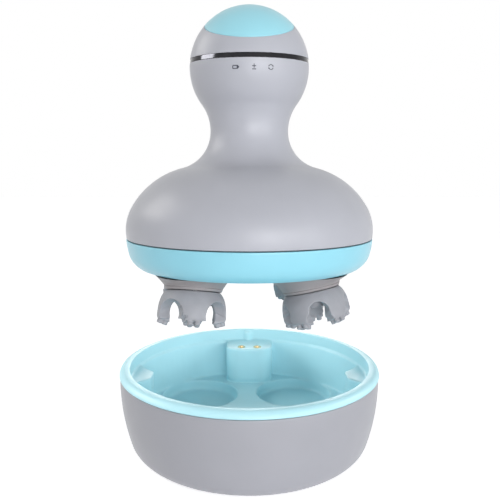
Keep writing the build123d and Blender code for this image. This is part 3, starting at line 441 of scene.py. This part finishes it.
button = {
    "tilt": 25.6,
    "radius": 19.05,
    "gap": 0.14,
    "edge": 0.18,
    "edgeTrim": 0.9,
    "wall": 1.3,
    "skirt": 1.2,
    "skirtWall": 1.0,
    "stemRadius": 1.7,
    "stemFoot": 21.23,
    "capStart": -34,
    "steps": 180,
}
buttonTurn = Matrix.Translation(headCentre) @ Matrix.Rotation(radians(button["tilt"]), 4, "X")


def makeHeadCap():
    outer = body["headRadius"]
    inner = outer - body["wall"]
    mouth = button["radius"] + button["gap"]
    rim = (mouth, sqrt(outer**2 - mouth**2))
    innerRim = (mouth, sqrt(inner**2 - mouth**2))
    startAngle = bearing((0, 0), rim)
    innerAngle = bearing((0, 0), innerRim)
    outside = arcPoints((0, 0), outer, button["capStart"], startAngle - button["edgeTrim"], 2)
    inside = arcPoints((0, 0), inner, innerAngle, button["capStart"], 2)
    edge = roundCorner(outside[-1], rim, inside[0], button["edge"])
    cap = latheSolid("headCap", outside + edge + inside + outside[:1])
    placeBy(cap, buttonTurn)
    high = band["rise"] + band["width"] / 2
    cutOffSide(cap, headCentre + bandNormal * high * mm, -bandNormal)
    smoothFinish(cap)
    install(cap, "massager", "shell_grey", finishes["shell_grey"], "head_cap")


def makeButton():
    b = button
    outer = body["headRadius"]
    edgeRise = sqrt(outer**2 - b["radius"] ** 2)
    edgeAngle = bearing((0, 0), (b["radius"], edgeRise))
    crown = arcPoints((0, 0), outer, 90, edgeAngle + b["edgeTrim"], 2)
    rounded = roundCorner(crown[-1], (b["radius"], edgeRise), (b["radius"], edgeRise - b["skirt"]), b["edge"])
    inner = b["radius"] - b["skirtWall"]
    under = outer - b["wall"]
    hollow = arcPoints((0, 0), under, degrees(acos(inner / under)), degrees(acos(b["stemRadius"] / under)), 3)
    skirt = [(b["radius"], edgeRise - b["skirt"]), (inner, edgeRise - b["skirt"])]
    stem = [(b["stemRadius"], b["stemFoot"]), (0, b["stemFoot"])]
    cap = latheSolid("buttonCap", crown + rounded + skirt + hollow + stem, b["steps"])
    placeBy(cap, buttonTurn)
    smoothFinish(cap)
    install(cap, "power_button", "button_blue", finishes["button_blue"], "power_button")


ring = {
    "top": 55.55,
    "waist": 54.6,
    "waistDrop": 6.5,
    "foot": 49.96,
    "lean": 3.4,
    "lip": 1.75,
    "spigot": 51.9,
    "spigotRise": 2.0,
    "shelf": 48.9,
    "shelfRise": 2.6,
    "lipRise": 1.2,
    "topRound": 0.25,
    "footRound": 0.35,
    "grooveRadius": 2.3,
    "grooveX": -0.8,
    "grooveY": 55.5,
    "grooveRise": 6.7,
    "grooveBelow": 4,
    "grooveRound": 0.9,
}


def tangentArc(start, end, heading, step=3.0):
    chord = Vector(end) - Vector(start)  # the arc from start to end that sets off along heading
    way = Vector(heading).normalized()
    side = Vector((-way.y, way.x))
    radius = chord.length_squared / (2 * chord.dot(side))
    centre = Vector(start) + side * radius
    first = bearing(centre, start)
    last = bearing(centre, end)
    if radius < 0 and last > first:
        last -= 360
    if radius > 0 and last < first:
        last += 360
    leaving = Vector((-sin(radians(last)), cos(radians(last)))) * (1 if radius > 0 else -1)
    return arcPoints(centre, abs(radius), first, last, step), leaving


def makeRing():
    r = ring
    top = seamRise - seamGap / 2
    waist = (r["waist"], seamRise - r["waistDrop"])
    foot = (r["foot"], ringFoot)
    lean = radians(r["lean"])
    side, heading = tangentArc((r["top"], top), waist, (-sin(lean), -cos(lean)), 2)
    belly, _ = tangentArc(waist, foot, heading, 3)
    outside = side[1:] + belly[1:-1]
    topEdge = roundCorner((r["spigot"], top), (r["top"], top), side[1], r["topRound"])
    footEdge = roundCorner(belly[-2], foot, (r["foot"] - r["lip"], ringFoot), r["footRound"])
    inside = [
        (r["foot"] - r["lip"], ringFoot),
        (r["foot"] - r["lip"], ringFoot + r["lipRise"]),
        (r["shelf"], ringFoot + r["shelfRise"]),
        (r["shelf"], seamRise + r["spigotRise"]),
        (r["spigot"], seamRise + r["spigotRise"]),
        (r["spigot"], top),
    ]
    piece = latheSolid("blueRing", inside + topEdge + outside + footEdge + inside[:1])
    deselectAll()
    depth = r["grooveRise"] + r["grooveBelow"]
    place = Vector((r["grooveX"], r["grooveY"], ringFoot + r["grooveRise"] - depth / 2))
    bpy.ops.mesh.primitive_cylinder_add(
        vertices=48, radius=r["grooveRadius"] * mm, depth=depth * mm, location=place * mm
    )
    cutter = bpy.context.object
    applyModifier(cutter, "BEVEL", width=r["grooveRound"] * mm, segments=4, angle_limit=radians(60))
    cutWith(piece, cutter)
    smoothFinish(piece)
    install(piece, "massager", "ring_blue", finishes["ring_blue"], "lower_ring")


shell = makeShell()
makeBand()
makeHeadCap()
makeButton()
makeRing()
print("massager's body made")


signs = {
    "rise": 70.85,
    "batteryX": -5.45,
    "batteryWidth": 2.7,
    "batteryHeight": 1.5,
    "batteryEnd": 0.66,
    "terminalWidth": 0.3,
    "terminalHeight": 0.62,
    "stroke": 0.36,
    "plusX": 1.92,
    "plusSize": 1.6,
    "plusRise": 0.36,
    "minusRise": -0.84,
    "arrowX": 8.69,
    "arrowRise": 0.1,
    "arrowRadius": 0.92,
    "arrowStroke": 0.3,
    "arrowTip": 0.42,
    "arrowArcs": ((28, 168), (208, 348)),
    "ahead": 3,
    "lift": 0.025,
    "thickness": 0.05,
}


def flatBar(width, height, x, z):
    bpy.ops.mesh.primitive_plane_add(size=1, location=(x * mm, 0, z * mm), rotation=(pi / 2, 0, 0))
    bar = bpy.context.object
    bar.scale = (width * mm, height * mm, 1)
    bpy.ops.object.transform_apply(location=True, rotation=True, scale=True)
    bpy.ops.object.mode_set(mode="EDIT")
    bpy.ops.mesh.subdivide(number_cuts=7)
    bpy.ops.object.mode_set(mode="OBJECT")
    return bar


def batteryBars(rise):
    s = signs
    left = s["batteryX"] - s["batteryWidth"] / 2
    right = s["batteryX"] + s["batteryWidth"] / 2 - s["terminalWidth"]
    edgeRise = (s["batteryHeight"] - s["stroke"]) / 2
    middle = (left + right) / 2
    length = right - left - s["stroke"]
    return [
        flatBar(length, s["stroke"], middle, rise + edgeRise),
        flatBar(length, s["stroke"], middle, rise - edgeRise),
        flatBar(s["stroke"], s["batteryHeight"] - s["stroke"], left + s["stroke"] / 2, rise),
        flatBar(s["batteryEnd"], s["batteryHeight"] - s["stroke"], right - s["batteryEnd"] / 2, rise),
        flatBar(s["terminalWidth"], s["terminalHeight"], right + s["terminalWidth"] / 2, rise),
    ]


def plusMinusBars(rise):
    s = signs
    return [
        flatBar(s["plusSize"], s["stroke"], s["plusX"], rise + s["plusRise"]),
        flatBar(s["stroke"], s["plusSize"], s["plusX"], rise + s["plusRise"]),
        flatBar(s["plusSize"], s["stroke"], s["plusX"], rise + s["minusRise"]),
    ]


def curvedArrow(rise, start, end):
    s = signs
    inner = s["arrowRadius"] - s["arrowStroke"] / 2
    ratio = (s["arrowRadius"] + s["arrowStroke"] / 2) / inner
    centre = (s["arrowX"], rise)
    arc = drawChain("arrowArc", arcPoints(centre, inner, start, end, 10))
    bpy.ops.mesh.select_all(action="SELECT")
    bpy.ops.mesh.extrude_edges_move()
    bpy.ops.transform.resize(value=(ratio, 1, ratio), center_override=(centre[0] * mm, 0, rise * mm))
    bpy.ops.object.mode_set(mode="OBJECT")
    applyPlace(arc)
    tip = arcPoints(centre, s["arrowRadius"], start, end)[0]
    deselectAll()
    bpy.ops.mesh.primitive_circle_add(
        vertices=3,
        radius=s["arrowTip"] * mm,
        fill_type="NGON",
        location=(tip[0] * mm, 0, tip[1] * mm),
        rotation=(pi / 2, radians(-start - 180), 0),
    )
    head = bpy.context.object
    applyPlace(head)
    return [arc, head]


def makeSigns():
    s = signs
    rise = seamRise + s["rise"]
    deselectAll()
    bars = batteryBars(rise) + plusMinusBars(rise)
    for start, end in s["arrowArcs"]:
        bars += curvedArrow(rise + s["arrowRise"], start, end)
    piece = joinInto(bars[0], bars[1:])
    piece.name = "frontSigns"
    piece.data.name = "frontSigns"
    bpy.ops.object.mode_set(mode="EDIT")
    bpy.ops.mesh.select_all(action="SELECT")
    bpy.ops.transform.translate(value=(0, -(body["headRadius"] + s["ahead"]) * mm, 0))
    bpy.ops.object.mode_set(mode="OBJECT")
    applyModifier(
        piece,
        "SHRINKWRAP",
        target=shell,
        wrap_method="PROJECT",
        use_project_y=True,
        use_positive_direction=True,
        use_negative_direction=False,
        offset=s["lift"] * mm,
        wrap_mode="ABOVE_SURFACE",
    )
    bpy.ops.object.mode_set(mode="EDIT")
    bpy.ops.mesh.select_all(action="SELECT")
    bpy.ops.mesh.normals_make_consistent(inside=False)
    bpy.ops.object.mode_set(mode="OBJECT")
    applyModifier(piece, "SOLIDIFY", thickness=s["thickness"] * mm, offset=0)
    install(piece, "massager", "dark_plastic", signInk)


makeSigns()
print("signs made")


crank = {
    "circle": 34.0,
    "firstAzimuth": 227.5,
    "pivotDrop": 14.0,
    "lean": 14.5,
    "leanAzimuths": (255.0, 328.0, 15.0, 170.0),
    "fingerAzimuths": (280.0, 306.0, 60.0, 120.0),
    "fingerCounts": (4, 5, 4, 5),
}


def crankMatrix(index):
    azimuth = radians(crank["firstAzimuth"] + 90 * index)
    reach = crank["circle"]
    place = Vector((reach * cos(azimuth), reach * sin(azimuth), seamRise - crank["pivotDrop"]))
    return Matrix.Translation(place * mm) @ Matrix.Rotation(radians(crank["leanAzimuths"][index]), 4, "Z")


# each section of the boot: distance below the pivot, radius, share of the lean
boot = {
    "outside": (
        (-0.77, 16.4, 0.0),
        (0.3, 15.65, 0.15),
        (1.5, 14.85, 0.32),
        (2.8, 13.9, 0.55),
        (4.0, 13.0, 0.8),
        (4.9, 12.42, 1.0),
        (5.1, 12.36, 1.0),
        (5.2, 12.22, 1.0),
        (5.24, 11.95, 1.0),
        (5.38, 11.95, 1.0),
        (5.44, 12.2, 1.0),
        (5.56, 12.24, 1.0),
        (6.38, 11.86, 1.0),
        (6.5, 11.68, 1.0),
    ),
    "inside": (
        (6.5, 11.0, 1.0),
        (5.2, 11.1, 1.0),
        (2.8, 12.8, 0.55),
        (-0.77, 15.4, 0.0),
    ),
    "steps": 120,
    "weld": 0.01,
}


def makeBoot():
    sections = boot["outside"] + boot["inside"] + boot["outside"][:1]
    drop, radius, share = sections[0]
    deselectAll()
    bpy.ops.mesh.primitive_circle_add(vertices=boot["steps"], radius=radius * mm, location=(0, 0, -drop * mm))
    piece = bpy.context.object
    bpy.ops.object.mode_set(mode="EDIT")
    bpy.ops.mesh.select_all(action="SELECT")
    for nextDrop, nextRadius, nextShare in sections[1:]:
        angle = radians(crank["lean"] * share)
        down = Vector((sin(angle), 0, -cos(angle)))
        bpy.ops.mesh.extrude_edges_move(TRANSFORM_OT_translate={"value": down * (nextDrop - drop) * mm})
        ratio = nextRadius / radius
        bpy.ops.transform.resize(value=(ratio, ratio, ratio), center_override=down * nextDrop * mm)
        turn = radians(crank["lean"] * (nextShare - share))
        if abs(turn) > 0:
            bpy.ops.transform.rotate(value=turn, orient_axis="Y", center_override=(0, 0, 0))
        drop, radius, share = nextDrop, nextRadius, nextShare
    bpy.ops.mesh.select_all(action="SELECT")
    bpy.ops.mesh.remove_doubles(threshold=boot["weld"] * mm)
    bpy.ops.mesh.normals_make_consistent(inside=False)
    bpy.ops.object.mode_set(mode="OBJECT")
    applyPlace(piece)
    return piece


# measured down the leaning axis from the pivot
claw = {
    "top": 6.8,
    "topRadius": 11.4,
    "widest": 17.2,
    "widestRadius": 14.4,
    "foot": 18.5,
    "footRadius": 14.1,
    "outsideWays": ((0.62, -0.6), (0.02, -1), (-0.3, -0.95)),
    "outsideSteps": 10,
    "innerFootRadius": 9.5,
    "tip": 20.0,
    "roof": 10.0,
    "roofGain": 0.6,
    "insideWays": ((0.1, 1), (-0.02, 1), (-0.75, 0.6)),
    "insideSteps": 8,
    "hubRadius": 5.2,
    "hubFoot": 13.8,
    "boreRadius": 2.55,
    "boreFoot": 12.9,
    "archTop": 10.6,
    "fingerWidth": 9.2,
    "tipWidth": 6.6,
    "gapStart": 1.5,
    "gapPast": 2,
    "gapBelow": 3,
    "nubRadius": 1.15,
    "nubHeight": 1.75,
    "nubRoot": 1.2,
    "nubRound": 0.42,
    "nubPitch": 2.9,
    "nubRowPitch": 2.2,
    "nubInset": 0.1,
    "slope": 18.0,
    "voxel": 0.24,
    "smoothing": 4,
    "keep": 0.6,
    "steps": 120,
}


def curveThrough(points, tangents, count):
    spline = []  # a smooth run through the points: cubic pieces between them
    for index in range(len(points) - 1):
        start, end = Vector(points[index]), Vector(points[index + 1])
        span = (end - start).length
        startWay = Vector(tangents[index]).normalized() * span
        endWay = Vector(tangents[index + 1]).normalized() * span
        for step in range(count):
            t = step / count
            spline.append(
                start * (2 * t**3 - 3 * t**2 + 1)
                + startWay * (t**3 - 2 * t**2 + t)
                + end * (3 * t**2 - 2 * t**3)
                + endWay * (t**3 - t**2)
            )
    return [tuple(point) for point in spline] + [tuple(points[-1])]


def gapFootHalf(reach, fingers):
    halfPitch = pi / fingers  # half the gap's width at its foot, between fingers as wide as their tips
    return (reach * sin(halfPitch) - claw["tipWidth"] / 2) / cos(halfPitch)


def gapSolid(fingers):
    c = claw  # a round crown and straight sides, widening from the hub outwards
    near = c["hubRadius"] + c["gapStart"]
    far = c["widestRadius"] + c["gapPast"]
    middle = (near + far) / 2 * mm
    low = -c["foot"]
    bottom = -c["tip"] - c["gapBelow"]
    crownRadius = near * tan(pi / fingers - asin(c["fingerWidth"] / 2 / c["widestRadius"]))
    footHalf = gapFootHalf(near, fingers)
    crown = arcPoints((0, -c["archTop"] - crownRadius), crownRadius, 0, 180, 10)
    right = [(footHalf, bottom), (footHalf, low)]
    left = [(-footHalf, low), (-footHalf, bottom)]
    piece = prismSolid("gap", right + crown + left, near, far)
    growth = far / near
    selectVertices(piece, lambda place: place.y > middle)
    pivot = (0, far * mm, -c["archTop"] * mm)
    bpy.ops.transform.resize(value=(growth, 1, growth), center_override=pivot)
    bpy.ops.object.mode_set(mode="OBJECT")
    footDrop = (low + c["archTop"]) * growth - c["archTop"]
    selectVertices(piece, lambda place: place.y > middle and place.z < (low + footDrop) / 2 * mm)
    spread = gapFootHalf(far, fingers) / (footHalf * growth)
    bpy.ops.transform.resize(value=(spread, 1, 1), center_override=(0, 0, 0))
    bpy.ops.transform.translate(value=(0, 0, (low - footDrop) * mm))
    bpy.ops.object.mode_set(mode="OBJECT")
    return piece


def cutGaps(piece, fingers):
    gap = gapSolid(fingers)
    for index in range(fingers):
        cutter = copyOf(gap, "gapCutter")
        placeBy(cutter, Matrix.Rotation(2 * pi * (index + 0.5) / fingers - pi / 2, 4, "Z"))
        cutWith(piece, cutter)
    bpy.data.objects.remove(gap)


def fingerNubs(fingers):
    c = claw
    nubs = []
    circle = (c["footRadius"] + c["innerFootRadius"]) / 2 - c["nubInset"]
    height = c["nubHeight"] + c["nubRoot"]
    for index in range(fingers):
        tipTurn = Matrix.Rotation(2 * pi * index / fingers, 4, "Z")
        tipPlace = Matrix.Translation(Vector((circle, 0, -(c["foot"] + c["tip"]) / 2)) * mm)
        face = tipTurn @ tipPlace @ Matrix.Rotation(pi - radians(c["slope"]), 4, "Y")
        for row, side in ((-0.5, -0.5), (-0.5, 0.5), (0.5, -0.5), (0.5, 0.5)):
            deselectAll()
            bpy.ops.mesh.primitive_cylinder_add(vertices=32, radius=c["nubRadius"] * mm, depth=height * mm)
            nub = bpy.context.object
            applyModifier(nub, "BEVEL", width=c["nubRound"] * mm, segments=4, angle_limit=radians(60))
            middle = Vector((row * c["nubRowPitch"], side * c["nubPitch"], c["nubHeight"] - height / 2))
            placeBy(nub, face @ Matrix.Translation(middle * mm))
            nubs.append(nub)
    return nubs


def makeClaw(fingers):
    c = claw
    outside = curveThrough(
        [(c["topRadius"], -c["top"]), (c["widestRadius"], -c["widest"]), (c["footRadius"], -c["foot"])],
        c["outsideWays"],
        c["outsideSteps"],
    )
    thickness = c["footRadius"] - c["innerFootRadius"]
    inside = curveThrough(
        [
            (c["innerFootRadius"], -c["tip"]),
            (c["widestRadius"] - thickness, -c["widest"]),
            (c["topRadius"] - thickness + c["roofGain"], -c["roof"]),
        ],
        c["insideWays"],
        c["insideSteps"],
    )
    hub = [
        (c["hubRadius"], -c["roof"]),
        (c["hubRadius"], -c["hubFoot"]),
        (0, -c["hubFoot"]),
        (0, -c["boreFoot"]),
        (c["boreRadius"], -c["boreFoot"]),
        (c["boreRadius"], -c["top"]),
    ]
    piece = latheSolid("claw", outside + inside + hub + outside[:1], c["steps"])
    cutGaps(piece, fingers)
    joinInto(piece, fingerNubs(fingers))
    applyModifier(piece, "REMESH", mode="VOXEL", voxel_size=c["voxel"] * mm, adaptivity=0)
    applyModifier(piece, "SMOOTH", factor=0.5, iterations=c["smoothing"])
    applyModifier(piece, "DECIMATE", ratio=c["keep"])
    smoothFinish(piece, 80)
    return piece


def makeBootsAndClaws():
    bootModel = makeBoot()
    smoothFinish(bootModel, 50)
    clawModels = {fingers: makeClaw(fingers) for fingers in sorted(set(crank["fingerCounts"]))}
    lean = Matrix.Rotation(-radians(crank["lean"]), 4, "Y")
    for index, fingers in enumerate(crank["fingerCounts"]):
        place = crankMatrix(index)
        name = str(index + 1)
        piece = copyOf(bootModel, "bootSkin" + name)
        placeBy(piece, place)
        install(piece, "crank_" + name, "boot_rubber", finishes["boot_rubber"], "boot_" + name)
        turn = radians(crank["fingerAzimuths"][index] - crank["leanAzimuths"][index])
        piece = copyOf(clawModels[fingers], "massageClaw" + name)
        placeBy(piece, place @ lean @ Matrix.Rotation(turn, 4, "Z"))
        install(piece, "claw_" + name, "claw_rubber", finishes["claw_rubber"], "claw_" + name)
    for model in (bootModel, *clawModels.values()):
        bpy.data.objects.remove(model)


makeBootsAndClaws()
print("boots and claws made")


cup = {
    "radius": 59.95,
    "widest": 33.3,
    "sideArc": 93.3,
    "cornerArc": 8.8,
    "wall": 1.9,
    "edge": 0.25,
    "socketWidth": 9.6,
    "socketHeight": 3.6,
    "socketMiddle": 25.4,
    "socketDepth": 6,
    "socketPast": 4,
    "footCircle": 33.0,
    "footRadius": 6.0,
    "footSeat": 0.4,
    "footDepth": 2,
}


def cupSide(inset):
    c = cup
    side = (c["radius"] - c["sideArc"], cupFoot + c["widest"])
    reach = c["sideArc"] - c["cornerArc"]
    corner = (side[0] + sqrt(reach**2 - (c["cornerArc"] - c["widest"]) ** 2), cupFoot + c["cornerArc"])
    turn = bearing(side, corner)
    topAngle = degrees(asin((cupTop - side[1]) / (c["sideArc"] - inset)))
    points = arcPoints(side, c["sideArc"] - inset, topAngle, turn, 1)
    return points + arcPoints(corner, c["cornerArc"] - inset, turn, -90, 4)[1:]


def makeCup():
    outside = cupSide(0)
    inside = cupSide(cup["wall"])
    edge = roundCorner(inside[0], outside[0], outside[1], cup["edge"])
    floor = [(0, cupFoot), (0, cupFoot + cup["wall"])]
    piece = latheSolid("baseCup", edge + outside[1:] + floor + inside[::-1] + edge[:1])
    half = cup["socketHeight"] / 2
    reach = cup["socketWidth"] / 2 - half
    right = arcPoints((reach, cup["socketMiddle"]), half, -90, 90, 10)
    left = arcPoints((-reach, cup["socketMiddle"]), half, 90, 270, 10)
    start = cup["radius"] - cup["socketDepth"]
    end = cup["radius"] + cup["socketPast"]
    cutWith(piece, prismSolid("socketCutter", right + left, start, end))
    arm = cup["footCircle"]
    seat = cupFoot + cup["footSeat"] - cup["footDepth"] / 2
    for turn in (0, pi / 2, pi, 3 * pi / 2):
        deselectAll()
        place = Vector((arm * cos(turn), arm * sin(turn), seat))
        bpy.ops.mesh.primitive_cylinder_add(
            vertices=72, radius=cup["footRadius"] * mm, depth=cup["footDepth"] * mm, location=place * mm
        )
        cutWith(piece, bpy.context.object)
    smoothFinish(piece)
    install(piece, "charging_base", "cup_grey", finishes["cup_grey"], "base_shell")


liner = {
    "rim": 60.23,
    "rimRound": 2.4,
    "rimGroove": 0.4,
    "grooveRound": 0.15,
    "rimSteps": 240,
    "lip": 55.45,
    "lipRound": 0.45,
    "skirt": 57.9,
    "stepDepth": 6.1,
    "underStep": 0.7,
    "tubRadius": 57.3,
    "tubTop": 0.55,
    "tubSteps": 192,
    "weld": 0.005,
    "voxel": 0.55,
    "smoothing": 6,
    "keep": 0.55,
}


def makeRim():
    n = liner
    low = rimTop - n["stepDepth"] - n["underStep"]
    corners = [
        (n["skirt"], low),
        (n["skirt"], cupTop),
        (cup["radius"] - cup["wall"] / 2, cupTop),
        (n["rim"], cupTop + n["rimGroove"], n["grooveRound"]),
    ]
    bend, _ = tangentArc((n["rim"], cupTop + n["rimGroove"]), (n["rim"] - n["rimRound"], rimTop), (0, 1), 8)
    corners += bend[1:] + [(n["lip"], rimTop, n["lipRound"]), (n["lip"], low)]
    piece = latheSolid("linerRim", outlineOf(corners), n["rimSteps"])
    smoothFinish(piece)
    install(piece, "charging_base", "liner_blue", finishes["liner_blue"])


def makeTub():
    n = liner
    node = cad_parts["base_liner"]
    piece = bpy.data.objects.new("linerTub", node.data.copy())
    bpy.context.scene.collection.objects.link(piece)
    makeActive(piece)
    bpy.ops.mesh.customdata_custom_splitnormals_clear()
    bpy.ops.object.mode_set(mode="EDIT")
    bpy.ops.mesh.select_all(action="SELECT")
    bpy.ops.mesh.remove_doubles(threshold=n["weld"] * mm)
    bpy.ops.object.mode_set(mode="OBJECT")
    deselectAll()
    high = rimTop - n["tubTop"]
    bpy.ops.mesh.primitive_cylinder_add(
        vertices=n["tubSteps"], radius=n["tubRadius"] * mm, depth=high * mm, location=(0, 0, high / 2 * mm)
    )
    cutWith(piece, bpy.context.object, "INTERSECT")
    applyModifier(piece, "REMESH", mode="VOXEL", voxel_size=n["voxel"] * mm, adaptivity=0)
    applyModifier(piece, "SMOOTH", factor=0.5, iterations=n["smoothing"])
    applyModifier(piece, "DECIMATE", ratio=n["keep"])
    smoothFinish(piece, 60)
    install(piece, "charging_base", "liner_blue", finishes["liner_blue"], "base_liner")


makeCup()
makeRim()
makeTub()
print("charging base made")


# Azimuths of the lamps are counted from the front, to the right, and their sizes are in metres.
studio = {
    "floorSize": 6.0,
    "floorGlow": 0.72,
    "horizonGlow": 0.42,
    "zenithGlow": 0.2,
    "fadeLow": 0.25,
    "fadeHigh": 0.7,
    "cameraDistance": 261.568,
    "cameraRise": 28.116,
    "cameraPitch": 7.54,
    "focalLength": 41.064,
    "sensorWidth": 36,
    "shift": 0.0014,
    "clipStart": 10,
}
softbox = {"distance": 1.0, "width": 0.55, "tall": 0.45, "colour": (1, 1, 1)}
lamps = {
    "keyLamp": {**softbox, "azimuth": 14, "elevation": 5, "power": 4.6, "colour": (0.98, 0.98, 1)},
    "sideLamp": {**softbox, "azimuth": 46, "elevation": 7, "power": 2.3, "colour": (0.98, 0.99, 1)},
    "rearLamp": {**softbox, "azimuth": -104, "elevation": 32, "power": 2.4, "colour": (1, 0.98, 0.95)},
    "glintLamp": {**softbox, "azimuth": -87, "elevation": 20, "power": 14.0},
    "bowlLeft": {**softbox, "azimuth": -95, "elevation": 21, "power": 4.6},
    "bowlRight": {**softbox, "azimuth": 95, "elevation": 21, "power": 3.1},
    "bowlRear": {**softbox, "azimuth": 180, "elevation": 21, "power": 3.2},
    "bowlFront": {**softbox, "azimuth": 0, "elevation": 21, "power": 1.9},
}


def whiteForEye(tree):
    path = tree.nodes.new("ShaderNodeLightPath")  # the eye, mirrors and clear pieces see plain white
    eye = tree.nodes.new("ShaderNodeMath")
    eye.operation = "MAXIMUM"
    tree.links.new(path.outputs["Is Camera Ray"], eye.inputs[0])
    tree.links.new(path.outputs["Is Glossy Ray"], eye.inputs[1])
    seen = tree.nodes.new("ShaderNodeMath")
    seen.operation = "MAXIMUM"
    tree.links.new(eye.outputs["Value"], seen.inputs[0])
    tree.links.new(path.outputs["Is Transmission Ray"], seen.inputs[1])
    return seen


def makeWorld():
    world = bpy.data.worlds.new("studio")
    bpy.context.scene.world = world
    world.use_nodes = True
    tree = world.node_tree
    grey = tree.nodes["Background"]
    grey.inputs["Color"].default_value = (1, 1, 1, 1)
    place = tree.nodes.new("ShaderNodeTexCoord")  # the light comes from around, less from above
    split = tree.nodes.new("ShaderNodeSeparateXYZ")
    fade = tree.nodes.new("ShaderNodeMapRange")
    fade.inputs["From Min"].default_value = studio["fadeLow"]
    fade.inputs["From Max"].default_value = studio["fadeHigh"]
    fade.inputs["To Min"].default_value = studio["horizonGlow"]
    fade.inputs["To Max"].default_value = studio["zenithGlow"]
    tree.links.new(place.outputs["Generated"], split.inputs["Vector"])
    tree.links.new(split.outputs["Z"], fade.inputs["Value"])
    tree.links.new(fade.outputs["Result"], grey.inputs["Strength"])
    white = tree.nodes.new("ShaderNodeBackground")
    white.inputs["Color"].default_value = (1, 1, 1, 1)
    white.inputs["Strength"].default_value = 1.0
    mix = tree.nodes.new("ShaderNodeMixShader")
    seen = whiteForEye(tree)
    tree.links.new(seen.outputs["Value"], mix.inputs["Fac"])
    tree.links.new(grey.outputs["Background"], mix.inputs[1])
    tree.links.new(white.outputs["Background"], mix.inputs[2])
    tree.links.new(mix.outputs["Shader"], tree.nodes["World Output"].inputs["Surface"])


def makeFloor():
    deselectAll()
    bpy.ops.mesh.primitive_plane_add(size=studio["floorSize"], location=(0, 0, 0))
    floor = bpy.context.object
    floor.name = "studioFloor"
    finish, tree, shader = newFinish("floor paper", (236, 236, 238), 0.8)
    glow = tree.nodes.new("ShaderNodeEmission")
    glow.inputs["Strength"].default_value = studio["floorGlow"]
    none = tree.nodes.new("ShaderNodeEmission")
    none.inputs["Strength"].default_value = 0.0
    choose = tree.nodes.new("ShaderNodeMixShader")
    both = tree.nodes.new("ShaderNodeAddShader")
    seen = whiteForEye(tree)
    tree.links.new(seen.outputs["Value"], choose.inputs["Fac"])
    tree.links.new(none.outputs["Emission"], choose.inputs[1])
    tree.links.new(glow.outputs["Emission"], choose.inputs[2])
    tree.links.new(shader.outputs["BSDF"], both.inputs[0])
    tree.links.new(choose.outputs["Shader"], both.inputs[1])
    tree.links.new(both.outputs["Shader"], tree.nodes["Material Output"].inputs["Surface"])
    floor.data.materials.append(finish)


def addLamp(name, target, lit, shades=None):
    setting = lamps[name]
    lamp = bpy.data.lights.new(name, "AREA")
    lamp.shape = "RECTANGLE"
    lamp.size = setting["width"]
    lamp.size_y = setting["tall"]
    lamp.energy = setting["power"]
    lamp.color = setting["colour"]
    holder = bpy.data.objects.new(name, lamp)
    bpy.context.scene.collection.objects.link(holder)
    turn = radians(setting["azimuth"])
    rise = radians(setting["elevation"])
    way = Vector((cos(rise) * sin(turn), -cos(rise) * cos(turn), sin(rise)))
    holder.location = target + way * setting["distance"]
    holder.rotation_euler = (-way).to_track_quat("-Z", "Y").to_euler()
    holder.light_linking.receiver_collection = lit
    holder.light_linking.blocker_collection = shades


def groupOf(name, *pieces, state="INCLUDE"):
    group = bpy.data.collections.new(name)
    for piece in pieces:
        group.objects.link(bpy.data.objects[piece])
    for member in group.collection_objects:
        member.light_linking.link_state = state
    return group


def makeLamps():
    middle = Vector((0, 0, 90 * mm))
    inBase = Vector((0, 0, rimTop * mm))
    band = groupOf("glintOnBand", "chromeBand")
    noBand = groupOf("allButBand", "chromeBand", state="EXCLUDE")
    # the open bowl is lit from around, as if it stood alone
    bowl = groupOf("bowlLight", "linerRim", "linerTub")
    bowlShades = groupOf("bowlShades", "linerRim", "linerTub", "baseCup")
    for name in ("keyLamp", "sideLamp", "rearLamp"):
        addLamp(name, middle, noBand)
    addLamp("glintLamp", headCentre, band)
    for name in ("bowlLeft", "bowlRight", "bowlRear", "bowlFront"):
        addLamp(name, inBase, bowl, bowlShades)


def makeCamera():
    s = studio
    view = bpy.data.cameras.new("camera")
    view.sensor_width = s["sensorWidth"]
    view.lens = s["focalLength"]
    view.shift_x = s["shift"]
    holder = bpy.data.objects.new("camera", view)
    bpy.context.scene.collection.objects.link(holder)
    holder.location = (0, -s["cameraDistance"] * mm, (seamRise + s["cameraRise"]) * mm)
    holder.rotation_euler = Euler((radians(90 - s["cameraPitch"]), 0, 0))
    view.clip_start = s["clipStart"] * mm
    bpy.context.scene.camera = holder


makeWorld()
makeFloor()
makeLamps()
makeCamera()
bpy.context.scene.view_settings.view_transform = "Standard"
print("studio made")
